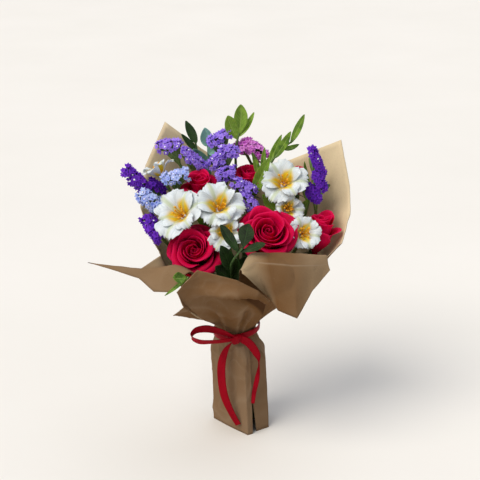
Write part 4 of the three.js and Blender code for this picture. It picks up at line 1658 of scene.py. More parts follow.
@dataclass
class Statice:
    """A spray of statice: a stem that forks to heads of papery florets.

    Attributes:
        number: Its number in the model.
        slot: The slot of its florets' colour.
        fork: Where its stem forks.
        heads: Both ends of each head.
        stars: The share of its florets with an open corolla.
        spread: How far out the florets stand from their head's core.
        core: How the core of a head swells, from end to end.
        stalk: The radii of a floret's stalk, from its foot to its cup.
    """

    number: int
    slot: Slot
    fork: Point
    heads: tuple[tuple[Point, Point], ...]
    stars: float = 0.1
    spread: float = 5.0
    core: tuple[float, ...] = (0.4, 0.8, 0.95, 1, 1, 1, 0.95, 0.8, 0.4)
    stalk: tuple[float, ...] = (0.8, 1.1, 1.5, 1.9, 1.8, 1.2)

    def plan(self) -> StemPlan:
        """How its stem runs."""
        fork = vec(*self.fork)
        return StemPlan(fork, fork + vec(0, 0, -30), 1.9)

    def seats(
        self, head: tuple[Point, Point], dice: np.random.Generator
    ) -> list[tuple[Array, Array, float]]:
        """Where the florets of one head stand.

        Args:
            head: Both ends of the head.
            dice: The source of its unevenness.

        Returns:
            The foot, the heading and the size of each floret.
        """
        a, b = vec(*head[0]), vec(*head[1])
        axis = unit(b - a)
        up = unit((a + b) / 2 - vec(*self.fork)) + vec(0, -0.28, 0.35)
        up = unit(up - np.dot(up, axis) * axis)
        side = np.cross(axis, up)
        start, end = a - 3.5 * axis, b + 3.5 * axis
        columns = max(4, round(np.linalg.norm(end - start) / 3.6))
        found = []
        for i in range(columns):
            for row in range(-3, 4):
                share = (i + 0.5 + 0.5 * (row % 2) + 0.4 * (dice.random() - 0.5)) / (columns + 0.5)
                turn = math.radians(25 * row + 12 * (dice.random() - 0.5))
                out = math.cos(turn) * up + math.sin(turn) * side
                out = unit(out + 1.1 * (share - 0.5) * axis + 0.16 * dice.normal(size=3))
                foot = start + share * (end - start)
                stand = self.spread * (0.85 + 0.35 * dice.random())
                found.append((foot + stand * out, out, 1.0 - 0.04 * abs(row)))
        return found

    def build(self, shop: Workshop, slot: Array) -> None:
        """Makes the florets, their corollas, and the stem with its branches.

        Args:
            shop: The trees and the finishes.
            slot: Where its stem stands in the bundle.
        """
        node = f"statice_{self.number}_spray"
        fork = vec(*self.fork)
        seed = STATICE_SEED + self.number
        dice = np.random.default_rng(seed)
        strands = [self.plan().strand(slot)]
        seats = []
        for head in self.heads:
            a, b = vec(*head[0]), vec(*head[1])
            axis = unit(b - a)
            middle = (a + b) / 2
            climb = middle - fork
            rise = fork + 0.5 * climb + vec(0, 0, -0.06 * np.linalg.norm(climb))
            branch = bezier(fork - vec(0, 0, 3), rise, middle - 0.25 * climb, middle, 14)
            strands.append(Strand(branch, np.linspace(1.6, 2.0, 14)))
            line = np.array([a - 4 * axis, a, middle, b, b + 4 * axis])
            core = through(line, np.linspace(0, 1, len(self.core)))
            strands.append(Strand(core, 0.75 * self.spread * np.array(self.core)))
            found = self.seats(head, dice)
            seats += found
            low = branch[7]
            for foot, out, _ in found:
                before = foot - 9 * out
                line = bezier(low, low + 0.5 * (before - low), before, foot, len(self.stalk))
                strands.append(Strand(line, np.array(self.stalk)))
        stalk = shop.tubes.tubes(f"statice_{self.number}_stalks", strands, 6, shop.stalk[Slot.GREEN])
        settle(stalk, node)
        cups = shop.sowing.sow(
            f"statice_{self.number}_florets", seats, statice_cup(), shop.floret[self.slot],
            Seed=seed, Least_size=0.8, Largest_size=1.2,
        )
        settle(cups, node)
        stars = shop.sowing.sow(
            f"statice_{self.number}_corollas", seats, statice_star(), shop.corolla,
            Seed=seed, Share=self.stars,
        )
        settle(stars, node)


@dataclass
class Sprig:
    """A leafy sprig: its stem's last stretch and its leaves."""

    name: str
    slot: Slot
    line: tuple[Point, ...]
    leaves: tuple[Leaf, ...]
    tone: float = 0.2

    def plan(self) -> StemPlan:
        """How its stem runs.

        Returns:
            The plan, with the sprig's own line at its end.
        """
        points = [vec(*point) for point in self.line]
        rise = unit(points[1] - points[0])
        return StemPlan(points[0], points[0] - 22 * rise, 1.6, points[1:])

    def build(self, shop: Workshop, slot: Array) -> None:
        """Makes the stem and the leaves.

        Args:
            shop: The trees and the finishes.
            slot: Where its stem stands in the bundle.
        """
        stem = self.plan().strand(slot)
        stalk = shop.tubes.tubes(f"{self.name}_stalk", [stem], 10, shop.stalk[self.slot])
        settle(stalk, self.name)
        skin = Skin()
        for k, leaf in enumerate(self.leaves):
            leaf.grow(skin, self.tone + 0.17 * k % 0.4)
        settle(skin.object(f"{self.name}_leaves", shop.leaf[self.slot]), self.name)


@dataclass(frozen=True)
class Fold:
    """One fold line of a sheet.

    Attributes:
        neck: Its angle at the neck, in degrees.
        top: Its angle at the sleeve's top.
        foot: Its angle at the foot.
        through: Its points above the neck.
        cells: How many cells lie between it and the fold before.
        painted_inside_light: How much of the lighter inside colour shows on its inner face, from 0 to 1;
            painted light, for how lit that face is.
    """

    neck: float
    top: float
    foot: float
    through: tuple[Point, ...]
    cells: int = 2
    painted_inside_light: float = 1.0


def flare(
    neck: float,
    rim: Point,
    belly: float = 5.0,
    foot: float | None = None,
    top: float | None = None,
    painted_inside_light: float = 1.0,
) -> Fold:
    """A fold that flares from the neck to the rim with a gentle outward belly.

    Args:
        neck: Its angle at the neck, in degrees.
        rim: Where it ends.
        belly: How far it bulges.
        foot: Its angle at the foot, if it isn't the neck's.
        top: Its angle at the sleeve's top, if it isn't the foot's.
        painted_inside_light: How much of the lighter inside colour shows on its inner face, from 0 to 1;
            painted light, for how lit that face is.

    Returns:
        The fold.
    """
    foot = neck if foot is None else foot
    top = foot if top is None else top
    turn = math.radians(neck)
    start = polar(turn, PLEAT_PEAK, TIE_HEIGHT + NECK_HALF) + vec(TIE_SHIFT, 0, 0)
    out = polar(turn, belly, -0.6 * belly)
    stations = [tuple(start + share * (vec(*rim) - start) + out) for share in (0.35, 0.7)]
    return Fold(neck, top, foot, (*stations, rim), painted_inside_light=painted_inside_light)


def turned(
    neck: float, *stations: Point, foot: float | None = None, cells: int = 2, painted_inside_light: float = 0.1
) -> Fold:
    """A fold whose points above the neck are given, as in a collar or a rolled flap.

    Args:
        neck: Its angle at the neck, in degrees.
        stations: Its points above the neck.
        foot: Its angle at the foot, if it isn't the neck's.
        cells: How many cells lie between it and the fold before.
        painted_inside_light: How much of the lighter inside colour shows on its inner face, from 0 to 1;
            painted light, for how lit that face is.

    Returns:
        The fold.
    """
    foot = neck if foot is None else foot
    return Fold(neck, foot, foot, stations, cells, painted_inside_light)


def foot_outline(angle: float) -> Array:
    """Where paper runs on the foot's outline, which is straight between its corners.

    Args:
        angle: The paper's angle.

    Returns:
        The point, without its height.
    """
    heading = vec(math.cos(angle), math.sin(angle))
    for k, corner in enumerate(SLEEVE_CORNERS):
        a = vec(*corner)
        b = vec(*SLEEVE_CORNERS[(k + 1) % len(SLEEVE_CORNERS)])
        edge = b - a
        if np.cross(a, heading) >= 0 and np.cross(heading, b) >= 0:
            return heading * np.cross(a, edge) / np.cross(heading, edge)
    raise ValueError("the foot's corners don't go once round it")


@dataclass
class PaperSheet:
    """A sheet of kraft paper that climbs the sleeve, is tied at the neck, and flares out.

    Attributes:
        name: Its node in the model.
        folds: Its fold lines, from one edge to the other.
        lowest: Where it starts.
        layer: How far outside the sleeve's outline it lies.
        neck_radius: How wide it is at the neck, where it isn't pleated.
        pleated: Whether it goes in and out at the neck.
        gathers: How deep the gathers above the tie are.
        tuck: How deep its tucked fold is, and how dark the painted shadow under it is.
        tuck_column: The middle of that fold's arch, in cells.
        tuck_height: How high the arch reaches.
        seed: Which crumples it has.
        wear: How much lighter handling has made it.
        crease: Where along it a pale line is painted along its rolled crest, a painted highlight, if one
            is.
        creasing: How much lighter its crests are, beside the usual 1.
        fine: How finely a cell is divided across.
        rows: How finely a stretch is divided along.
    """

    name: str
    folds: tuple[Fold, ...]
    lowest: float
    layer: float
    neck_radius: float
    pleated: bool = False
    gathers: float = 0.0
    tuck: float = 0.0
    tuck_column: float = 8.0
    tuck_height: float = 200.0
    seed: float = 0.0
    wear: float = 0.9
    crease: float | None = None
    creasing: float = 1.0
    fine: int = 7
    rows: int = 9

    def sleeve_point(self, angle: float, z: float, neck_radius: float) -> Array:
        """A point of the sleeve, drawn in to a round neck at the tie.

        Args:
            angle: Its angle.
            z: Its height.
            neck_radius: How wide the neck is there.

        Returns:
            The point.
        """
        neck = polar(angle, neck_radius, z) + vec(TIE_SHIFT, 0, 0)
        if z > SLEEVE_TOP:
            return neck
        outline = foot_outline(angle)
        outline = outline * (1 + self.layer / np.linalg.norm(outline))
        foot = vec(outline[0], outline[1], z)
        rise = z / SLEEVE_TOP
        return foot + 0.15 * rise * (neck - foot) + vec(SLEEVE_LEAN * rise, 0, 0)

    def neck_at(self, angle: float, column: float) -> float:
        """The neck's radius, in and out by turns where it is pleated.

        Args:
            angle: The paper's angle.
            column: Its place, in cells.

        Returns:
            The radius.
        """
        if not self.pleated:
            return self.neck_radius
        back = (0.5 + 0.5 * math.sin(angle)) ** 2
        out = 0.5 - 0.5 * math.cos(math.pi * column)
        return PLEAT_VALLEY + (PLEAT_PEAK + BACK_FULLNESS * back - PLEAT_VALLEY) * out

    def grid(self) -> tuple[Array, Array, Array]:
        """Lays the sheet out.

        Returns:
            Its middle as a grid of points, and the place in cells and the painted inside light of each
            column.
        """
        places, columns = [0.0], [0.0]
        for k, fold in enumerate(self.folds[1:]):
            cells = fold.cells * self.fine
            places += [k + (i + 1) / cells for i in range(cells)]
            columns += [columns[-1] + (i + 1) / self.fine for i in range(cells)]
        index = range(len(self.folds))
        angles = zip(*[(fold.neck, fold.top, fold.foot) for fold in self.folds])
        neck, top, foot = (np.radians(np.interp(places, index, part)) for part in angles)
        above = np.array([fold.through for fold in self.folds])
        shares = np.array(places) / index[-1]
        stations = [through(above[:, k], shares) for k in range(above.shape[1] - 1)]
        rim = [np.interp(places, index, above[:, -1, axis]) for axis in range(3)]
        stations.append(np.column_stack(rim))
        # The sleeve's heights from its foot to its top, and the neck's lower and upper edges.
        marks = (0.0, 0.5 * SLEEVE_TOP, SLEEVE_TOP - 7, SLEEVE_TOP)
        marks += (TIE_HEIGHT - NECK_HALF, TIE_HEIGHT + NECK_HALF)
        heights = [z for z in marks if z >= self.lowest]
        lines = []
        for i, column in enumerate(columns):
            points = []
            for z in heights:
                low = foot[i] + (top[i] - foot[i]) * z / SLEEVE_TOP
                angle = neck[i] if z > SLEEVE_TOP else low
                points.append(self.sleeve_point(angle, z, self.neck_at(neck[i], column)))
            points += [station[i] for station in stations]
            stretches = len(points) - 1
            lines.append(through(np.array(points), np.linspace(0, 1, stretches * self.rows + 1)))
        painted_inside_light = np.interp(places, index, [fold.painted_inside_light for fold in self.folds])
        return np.array(lines).transpose(1, 0, 2), np.array(columns), painted_inside_light

    def gathered(self, middle: Array, columns: Array) -> tuple[Array, Array]:
        """Adds gathers that run up and down from the tie, and the front's tucked fold.

        Args:
            middle: The grid of points.
            columns: The place of each column, in cells.

        Returns:
            The grid, moved, and how deep in a fold each point lies, from 0 to 1.
        """
        out = middle - vec(TIE_SHIFT, 0, 0)
        out[..., 2] = 0
        z = middle[..., 2]
        above = z - TIE_HEIGHT
        uneven = columns + 0.35 * np.sin(1.7 * columns + self.seed)
        wave = 1 - 2 * np.abs(np.sin(1.45 * uneven))[None, :] ** 0.8
        tight = bell(above, 0, 12) * (wave - 1) * 0.4
        loose = bell(above, 30, 20) * (wave + 0.5) * self.gathers
        below = bell(above, -24, 12) * wave * 0.35 * self.gathers
        arch = self.tuck_height - (columns - self.tuck_column) ** 2
        under = smooth(z, arch - 38, arch - 3) * (1 - smooth(z, arch - 1.5, arch + 2))
        over = 0.35 * smooth(z, arch - 1.5, arch + 2) * (1 - smooth(z, arch + 3, arch + 20))
        hollow = self.tuck * (over - under) * bell(columns, 8.5, 3)
        # Painted shade: a dark shadow line under the tucked fold, thicker to the right, and darkening in
        # the valleys between gathers.
        thick = 2.5 + 0.9 * np.clip(columns - 6, 0, 6)
        shadow = bell(z - arch, -thick, 1.4 * thick) * smooth(columns, 5.5, 8.5)
        valley = 0.5 * bell(above, 26, 17) * smooth(-wave, -0.2, 1.0)
        deep = np.clip(1.25 * self.tuck / 20 * shadow + valley, 0, 1)
        return middle + (tight + loose + below + hollow)[..., None] * unit_rows(out), deep

    def build(self, shop: Workshop) -> None:
        """Makes the sheet.

        Args:
            shop: The trees and the finishes.
        """
        middle, columns, painted_inside_light = self.grid()
        deep = 0.0
        if self.gathers:
            middle, deep = self.gathered(middle, columns)
        flat = middle.reshape(-1, 3)
        broad = ridges(flat * np.array([1, 1, 0.8]), 46, 3 + self.seed).reshape(middle.shape[:2])
        small = ridges(flat, 17, 9 + self.seed).reshape(middle.shape[:2])
        free = smooth(middle[..., 2], 1, 14)
        crumple = free * (1.7 * (broad - 0.4) + 0.5 * (small - 0.3))
        crumple *= 1 - 0.75 * bell(middle[..., 2], TIE_HEIGHT, 10)
        middle = middle + crumple[..., None] * facing(middle)
        u, v = np.meshgrid(columns / columns[-1], np.linspace(0, 1, len(middle)))
        handled = 0.35 * self.wear * (1 - 0.45 * smooth(middle[..., 2], 90, 150))
        crests = np.maximum(broad, 0.8 * small) ** 3
        # The tone: lighter with wear on crests and where handled, darker with painted shade in folds.
        wear_and_painted_light = (0.35 + 0.3 * self.wear * self.creasing * crests + handled) * (1 - deep)
        # A painted highlight: a pale line along the rolled crest.
        if self.crease:
            wear_and_painted_light = np.maximum(wear_and_painted_light, 0.9 * bell(v, self.crease, 0.012))
        if self.folds[0].neck > self.folds[-1].neck:
            middle, u, wear_and_painted_light, painted_inside_light = middle[:, ::-1], u[:, ::-1], wear_and_painted_light[:, ::-1], painted_inside_light[::-1]
        skin = Skin()
        skin.sheet(middle, 0.4, u, v, wear_and_painted_light)
        # Painted light: each column's inner face shows as much of the lighter inside colour as its fold
        # says.
        skin.places[-1][:, 2] *= np.tile(painted_inside_light, 2 * len(middle))
        settle(skin.object(f"{self.name}_wrap", shop.kraft), self.name)


@dataclass(frozen=True)
class Strip:
    """A stretch of ribbon: the points of its middle line, and its width's direction at each."""

    points: tuple[tuple[Point, Point], ...]
    cells: int

    def weave(self, skin: Skin, tone: float) -> None:
        """Adds the strip to a skin.

        Args:
            skin: What it is added to.
            tone: Its tone.
        """
        places = np.linspace(0, 1, self.cells + 1)
        path = through(np.array([point for point, _ in self.points]), places)
        sides = through(np.array([side for _, side in self.points], float), places)
        u, v = np.meshgrid(np.linspace(-1, 1, 9), places)
        middle = path[:, None] + 0.5 * u[..., None] * sides[:, None]
        normal = unit_rows(np.cross(sides, np.gradient(path, axis=0)))
        cup = 0.35 * (1 - u * u) + 0.12 * np.sin(16 * v + 3 * u)
        middle = middle + cup[..., None] * normal[:, None]
        skin.sheet(middle, 0.28, 0.5 + 0.5 * u, v, tone)


@dataclass
class Ribbon:
    """The red satin ribbon: a slanted band, a knot, one open loop and two tails.

    Attributes:
        strips: The loop and the tails.
        radius: The neck's radius under the band.
        width: The band's width.
        slant: How much the band climbs towards the right.
        thickness: The band's thickness.
        knot: The middle of the knot.
        knot_half: Half the knot's width, depth and height.
        cells: How many cells the band has round the neck.
        section: The band's section, as shares of its thickness and of half its width.
    """

    strips: tuple[Strip, ...]
    radius: float = 26.7
    width: float = 7.0
    slant: float = 0.15
    thickness: float = 0.7
    knot: Point = (-7.0, -31.0, 120.0)
    knot_half: Point = (6.2, 4.3, 6.4)
    cells: int = 120
    section: Rings = (
        (0, -1), (0.6, -1.03), (1, -0.92), (1.15, -0.4), (1.2, 0.1),
        (1.1, 0.5), (1, 0.94), (0.6, 1.03), (0, 1), (0, 0),
    )

    def band(self, skin: Skin) -> None:
        """Adds the band round the neck, higher on the right.

        Args:
            skin: What it is added to.
        """
        rings = []
        for k in range(self.cells):
            angle = k / self.cells * math.tau
            crease = 0.25 * math.sin(7 * angle) + 0.15 * math.sin(13 * angle)
            ring = []
            for thick, high in self.section:
                bulge = crease * (1 - high * high) if thick > 0.5 else 0.0
                radius = self.radius + thick * self.thickness + bulge
                point = polar(angle, radius, TIE_HEIGHT + high * self.width / 2)
                point[2] += self.slant * point[0]
                ring.append(point + vec(TIE_SHIFT, 0, 0))
            rings.append(ring)
        skin.shell(np.array(rings)[:, ::-1], 0.5, closed=True)

    def tie(self, skin: Skin) -> None:
        """Adds the knot, a soft lump with folds running into it.

        Args:
            skin: What it is added to.
        """
        rings = []
        angles = np.arange(32) * math.tau / 32
        wide, deep, high = self.knot_half
        for lift in np.linspace(-0.97, 0.97, 17):
            girth = (1 - abs(lift) ** 2.6) ** 0.5
            folds = 1 + 0.07 * np.cos(5 * angles + 2.0 * lift) + 0.04 * np.cos(9 * angles - lift)
            x = wide * girth * np.cos(angles) * folds + 1.2 * lift
            y = deep * girth * np.sin(angles) * folds
            z = np.full_like(x, high * lift) + 0.6 * np.cos(angles)
            rings.append(np.column_stack([x, y, z]) + vec(*self.knot))
        skin.shell(np.array(rings), 0.6)

    def build(self, shop: Workshop) -> None:
        """Makes the whole ribbon.

        Args:
            shop: The trees and the finishes.
        """
        skin = Skin()
        self.band(skin)
        self.tie(skin)
        for k, strip in enumerate(self.strips):
            strip.weave(skin, 0.3 + 0.2 * k)
        settle(skin.object("ribbon_bow", shop.satin), "ribbon")


@dataclass
class Studio:
    """The pale floor, the soft lights and the camera at the photograph's angle."""

    target: Point = (-3.04, 0.0, 230.88)
    camera: Point = (-3.04, -1315.57, 709.71)
    field_of_view: float = 22.305

    def floor(self) -> None:
        """Lays the floor."""
        bpy.ops.mesh.primitive_grid_add(x_subdivisions=8, y_subdivisions=8, size=90)
        floor = bpy.context.object
        floor.name = "studio_floor"
        floor.data.materials.append(FloorFinish().material())

    def sun(self, name: str, towards: Point, power: float, softness: float, shade: str) -> None:
        """Hangs a soft light that is far away.

        Args:
            name: Its name.
            towards: Where it stands, as seen from the bouquet.
            power: How bright it is.
            softness: How wide it looks, in degrees.
            shade: The colour of its light.
        """
        light = bpy.data.lights.new(name, "SUN")
        light.energy = power
        light.angle = math.radians(softness)
        light.color = colour(shade)[:3]
        lamp = stand(name, light)
        lamp.rotation_euler = Vector(towards).to_track_quat("Z", "Y").to_euler()

    def air(self) -> None:
        """Fills the room with pale, even light."""
        world = bpy.data.worlds.new("studio_air")
        world.use_nodes = True
        back = world.node_tree.nodes["Background"]
        back.inputs["Color"].default_value = colour("#f4f6fb")
        back.inputs["Strength"].default_value = 0.4
        bpy.context.scene.world = world

    def view(self) -> None:
        """Sets up the camera."""
        lens = bpy.data.cameras.new("studio_camera")
        lens.angle = math.radians(self.field_of_view)
        camera = stand("studio_camera", lens)
        camera.location = Vector(self.camera) * MM
        aim = Vector(self.target) * MM - camera.location
        camera.rotation_euler = aim.to_track_quat("-Z", "Y").to_euler()
        bpy.context.scene.camera = camera

    def build(self) -> None:
        """Makes the whole studio."""
        self.floor()
        self.air()
        self.sun("key_light", (-0.6, -0.55, 1.0), 2.7, 40.0, "#fff8ee")
        self.sun("top_light", (0.3, 0.4, 1.0), 0.7, 60.0, "#f2f6ff")
        self.view()


OPEN = ((0.4, 3), (0.62, 3), (0.82, 4), (1.0, 4))
HALF_OPEN = ((0.5, 3), (0.75, 3), (1.0, 4))
BUD = ((0.6, 3), (1.0, 3))

ROSES = (
    Rose(
        1, (-52, -50, 234), (-0.2, -0.76, 0.62), 31, 39, OPEN,
        leaves=(((-15, -60, 238), 14),), turn=0.5,
    ),
    Rose(
        2, (27, -51, 254), (0.1, -0.65, 0.76), 33, 42, OPEN,
        leaves=(((-3, -64, 241), 14), ((54, -62, 232), 13)), turn=0.5,
    ),
    Rose(
        3, (86, -19, 247), (0.2, -0.05, 0.97), 20, 48, HALF_OPEN,
        leaves=(((74, -44, 234), 13),), curl=0.35,
    ),
    Rose(4, (-48, 0, 294), (-0.1, -0.3, 0.95), 19, 38, HALF_OPEN, turn=0.4, curl=0.6),
    Rose(5, (9, 20, 296), (0, -0.2, 0.98), 20, 36, HALF_OPEN, turn=1.1, curl=0.6),
    Rose(6, (64, 27, 295), (0.15, 0.1, 0.98), 12, 30, BUD, heart=4, curl=0.4),
)

ALSTROEMERIAS = (
    Alstroemeria(
        1,
        (-38, 4, 208),
        (
            ((-69, -40, 276), (-0.35, -0.72, 0.6), 27),
            ((-26, -38, 284), (0.05, -0.7, 0.71), 26),
            ((-19, -53, 259), (0.05, -0.88, 0.46), 19),
            ((-95, 4, 313), (-0.45, 0.2, 0.86), 17),
        ),
        (Leaf((-40, 0, 240), (-62, -14, 296), 11), Leaf((-38, -6, 244), (-42, -20, 282), 12)),
    ),
    Alstroemeria(
        2,
        (40, -12, 208),
        (
            ((46, -8, 303), (0, -0.75, 0.66), 25),
            ((50, -21, 275), (0.2, -0.8, 0.55), 17),
            ((67, -42, 254), (0.25, -0.85, 0.45), 19),
        ),
        (
            Leaf((43, -8, 262), (22, -14, 290), 13, light=0.3),
            Leaf((44, -8, 250), (42, -16, 288), 14, light=0.3),
            Leaf((46, -8, 244), (74, -6, 282), 12, light=0.2),
        ),
    ),
)

STATICES = (
    Statice(
        1, Slot.LAVENDER, (-52, 20, 283),
        (((-90, 20, 335), (-75, 18, 336)), ((-66, 14, 328), (-49, 16, 314))),
    ),
    Statice(
        2, Slot.LAVENDER, (-20, 20, 283),
        (
            ((-33, 27, 338), (-19, 28, 345)),
            ((-30, 16, 317), (-20, 16, 326)),
            ((-20, 12, 331), (-12, 12, 331)),
            ((-22, 5, 306), (-13, 4, 309)),
        ),
    ),
    Statice(
        3, Slot.LAVENDER, (2, -8, 248),
        (((-6, -5, 297), (6, -7, 291)), ((3, -16, 284), (13, -20, 272))),
    ),
    Statice(
        4, Slot.VIOLET, (-88, -6, 263),
        (((-129, -10, 315), (-112, -9, 296)), ((-103, -2, 296), (-95, 0, 290))),
        stars=0.05, spread=4.4,
    ),
    Statice(
        5, Slot.PALE_BLUE, (-74, -4, 268),
        (((-82, -10, 306), (-66, -12, 311)), ((-109, -22, 291), (-99, -24, 283))),
        stars=0.35,
    ),
    Statice(
        6, Slot.VIOLET, (-82, -20, 233),
        (((-106, -27, 265), (-100, -29, 257)), ((-100, -40, 259), (-94, -42, 252))),
        stars=0.02, spread=4.4,
    ),
    Statice(
        7, Slot.VIOLET, (84, 6, 265),
        (
            ((77, 2, 335), (86, 0, 314)),
            ((84, -2, 309), (88, -4, 297)),
            ((75, -4, 292), (82, -5, 284)),
        ),
        stars=0.02, spread=2.8,
    ),
    Statice(
        8, Slot.PINK, (12, 46, 308),
        (((-4, 36, 328), (5, 36, 333)), ((11, 36, 330), (21, 36, 320))),
        stars=0.03,
    ),
)

SPRIGS = (
    Sprig("ruscus_sprig_top", Slot.GREEN, ((-8, 40, 311), (-8, 30, 331), (-4, 27, 351)), (
        Leaf((-4, 27, 349), (-2, 26, 384), 15, 0.55),
        Leaf((-6, 28, 343), (-17, 22, 372), 15, 0.55),
        Leaf((-5, 27, 346), (13, 30, 374), 7)),
        tone=0.5),
    Sprig("willow_sprig_right", Slot.GREEN, ((14, 6, 286), (27, 12, 313), (43, 14, 333), (58, 13, 347)), (
        Leaf((54, 13, 342), (69, 12, 376), 8, 0.5),
        Leaf((36, 13, 325), (54, 6, 358), 9),
        Leaf((29, 12, 315), (44, 18, 351), 8),
        Leaf((46, 13, 335), (64, 20, 339), 6),
        Leaf((12, 2, 283), (30, -13, 333), 13, light=0.3),
        Leaf((20, 9, 299), (11, 16, 331), 7),
        Leaf((23, 10, 305), (25, 22, 335), 6)),
        tone=0.0),
    Sprig("leaf_sprig_back", Slot.DARK, ((-50, 36, 293), (-52, 34, 323), (-54, 33, 338)), (
        Leaf((-53, 33, 337), (-65, 34, 363), 10),
        Leaf((-52, 34, 327), (-70, 32, 348), 7)),
        tone=0.75),
    Sprig("eucalyptus_sprig", Slot.BLUE_GREEN, ((-36, 40, 283), (-39, 40, 313), (-40, 38, 333)), (
        Leaf((-40, 38, 332), (-43, 34, 355), 14, light=0.7),
        Leaf((-38, 40, 311), (-24, 46, 329), 14),
        Leaf((-39, 40, 298), (-60, 44, 311), 13),
        Leaf((-38, 39, 308), (-57, 29, 331), 13),
        Leaf((-39, 38, 322), (-29, 30, 339), 12, light=0.3))),
    Sprig("leaf_sprig_front", Slot.DARK, ((-12, -62, 205), (-12, -80, 233), (0, -90, 255)), (
        Leaf((0, -90, 254), (6, -98, 285), 17, 0.64),
        Leaf((-4, -87, 248), (-24, -90, 281), 11, 0.55),
        Leaf((-3, -88, 249), (24, -100, 263), 9, 0.6),
        Leaf((-12, -72, 221), (-24, -84, 255), 15),
        Leaf((-12, -64, 208), (-30, -76, 228), 17),
        Leaf((-11, -60, 204), (8, -66, 236), 18, 0.55),
        Leaf((-12, -60, 206), (8, -66, 226), 14),
        Leaf((-12, -56, 198), (-14, -62, 236), 18, 0.55),
        Leaf((-12, -66, 210), (-6, -84, 240), 13)),
        tone=0.0),
    Sprig("leaf_sprig_low", Slot.GREEN, ((-38, -58, 183), (-52, -84, 209), (-60, -92, 221)), (
        Leaf((-61, -92, 221), (-75, -101, 224), 12, 0.56),
        Leaf((-59, -91, 221), (-84, -107, 206), 4)),
        tone=0.0),
    Sprig("leaf_sprig_right", Slot.GREEN, ((70, 14, 248), (78, 18, 278), (82, 20, 293)), (
        Leaf((82, 20, 292), (90, 22, 315), 12),
        Leaf((78, 18, 279), (100, 14, 293), 11),
        Leaf((76, 17, 270), (66, 6, 307), 7),
        Leaf((79, 18, 282), (70, 10, 322), 5))),
)

# In these tables, each fold's share of the lighter inside colour on its inner face is painted light.
BACK_FOLDS = (
    turned(228, (-43, -57, 183), (-58, -85, 225), (-78, -90, 203)),
    turned(222, (-51, -50, 183), (-69, -77, 228), (-97, -84, 201), cells=1),
    turned(217, (-56, -44, 184), (-78, -70, 226), (-114, -72, 212), cells=1),
    turned(212, (-60, -38, 185), (-92, -63, 213), (-171, -60, 227), cells=1),
    turned(207, (-63, -32, 185), (-93, -54, 216), (-117, -54, 214), cells=1),
    turned(200, (-66, -24, 186), (-86, -44, 215), (-92, -46, 229), cells=1, painted_inside_light=0.5),
    flare(186, (-104, -18, 242)),
    flare(174, (-116, 2, 271), foot=176.9),
    flare(160, (-111, 25, 313)),
    flare(142, (-89, 45, 359)),
    flare(120, (-50, 58, 325), foot=126),
    flare(96, (-5, 62, 294), foot=111.4),
    flare(72, (56, 58, 310), foot=75),
    flare(48, (113, 40, 339)),
    flare(26, (122, 15, 292), foot=24.3),
    flare(8, (122, -8, 264)),
    flare(-12, (112, -28, 237), belly=3),
    flare(-36, (92, -50, 228), belly=0, foot=-34.1),
    flare(-76, (50, -60, 219), belly=-3, foot=-62, top=-74),
)

FRONT_FOLDS = (
    flare(178, (-77, -76, 170), belly=0, foot=170, painted_inside_light=0.1),
    flare(187, (-65, -84, 183), belly=2, foot=176.9, painted_inside_light=0.3),
    flare(214, (-72, -97, 206), belly=4, foot=203),
    turned(238, (-31, -54, 165), (-44, -86, 197), (-49, -98, 232), foot=228),
    turned(262, (-8, -60, 163), (-7, -93, 189), (-6, -103, 222), foot=258),
    turned(282, (5, -56, 163), (12, -86, 183), (16, -98, 209), foot=279),
    flare(300, (29, -87, 192), belly=6, foot=288, top=291),
)

FLAP_FOLDS = (
    turned(258, (-4, -76, 215), (-3, -88, 229), (-1.5, -90, 228), (0, -92, 226), painted_inside_light=0.45),
    turned(272, (8, -76, 215), (9, -86, 246), (12, -95, 239), (27, -80, 194), painted_inside_light=0.25),
    turned(286, (18, -72, 209), (27, -86, 248), (28, -98.5, 240), (39, -93, 183), painted_inside_light=0.0),
    turned(300, (34, -70, 205), (52, -80, 244), (54, -94, 236), (59, -99, 176), painted_inside_light=0.05),
    turned(315, (50, -65, 202), (72, -69, 239), (75, -82, 231), (76, -88, 205), painted_inside_light=0.2),
    turned(331, (63, -56, 197), (92, -58, 234), (94, -66, 226), (96, -70, 221), painted_inside_light=0.2),
)

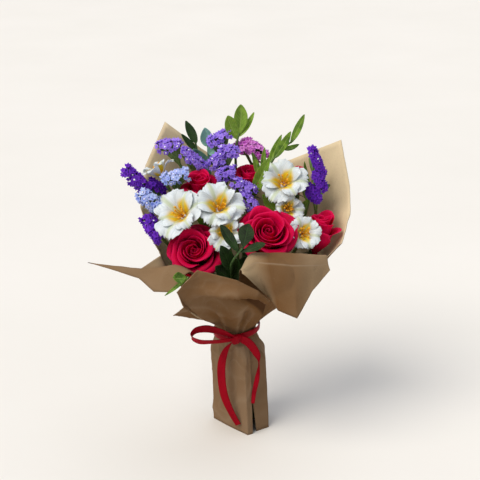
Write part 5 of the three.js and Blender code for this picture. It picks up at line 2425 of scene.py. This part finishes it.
SHEETS = (
    PaperSheet(
        "paper_back_sheet", BACK_FOLDS, 0.0, 0.0, PLEAT_PEAK,
        pleated=True, seed=1.0, creasing=0.35,
    ),
    PaperSheet(
        "paper_front_sheet", FRONT_FOLDS, 0.0, 2.7, 25.4,
        gathers=2.8, tuck=20.0, seed=2.0, creasing=0.7, fine=10, rows=16,
    ),
    PaperSheet(
        "paper_flap_sheet", FLAP_FOLDS, TIE_HEIGHT - NECK_HALF, 0.0, 24.2,
        gathers=0.8, seed=4.0, wear=0.15, crease=0.8, fine=12, rows=18,
    ),
)

LOOP = Strip(
    (
        ((-8, -31, 121), (1, -2, 6)),
        ((-24, -33, 129.5), (0, -2, 9)),
        ((-41, -34, 134.5), (0, -1, 9.5)),
        ((-55, -37, 133), (-1, -2, 8)),
        ((-59, -42, 128), (-1, -4, 7)),
        ((-51, -45, 123.5), (0, -3, 7)),
        ((-35, -42, 121.5), (0, -3.5, 6)),
        ((-19, -36, 120.5), (0, -4, 6)),
        ((-8, -31, 120), (1, -2, 6)),
    ),
    90,
)

LEFT_TAIL = Strip(
    (
        ((-9, -32, 120), (5, 0, 5)),
        ((-18, -33.5, 111), (8, 0, 4)),
        ((-24, -35, 93), (9.5, -1, 1)),
        ((-24.5, -36, 71), (9.5, -1, 0)),
        ((-21, -36, 48), (9, -1, 2)),
        ((-13, -36, 27), (7, -1, 3)),
        ((-5, -36, 11), (6, -1, 3)),
    ),
    80,
)

RIGHT_TAIL = Strip(
    (
        ((-4, -32, 122), (3, 0, 8)),
        ((7, -34.5, 117), (6, 0, 8)),
        ((16, -36, 104), (8, -1, 3)),
        ((19, -37, 92), (1, -5, 1)),
        ((17, -37, 73), (5, -3, -1)),
        ((13.5, -38, 55), (5, -1, 0)),
        ((12, -39, 41), (4, -1, 0)),
    ),
    70,
)


def main() -> None:
    """Builds the bouquet round its solids, piece by piece, and its studio."""
    logging.basicConfig(level=logging.INFO, format="%(name)s: %(message)s")
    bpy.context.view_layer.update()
    shop = open_workshop()
    growers = [*ROSES, *ALSTROEMERIAS, *STATICES, *SPRIGS]
    slots = bundle_slots([grower.plan() for grower in growers])
    for grower, slot in zip(growers, slots):
        grower.build(shop, slot)
    for sheet in SHEETS:
        sheet.build(shop)
    Ribbon((LOOP, LEFT_TAIL, RIGHT_TAIL)).build(shop)
    Studio().build()
    bpy.context.scene.view_settings.view_transform = "Standard"


if __name__ == "__main__":
    main()
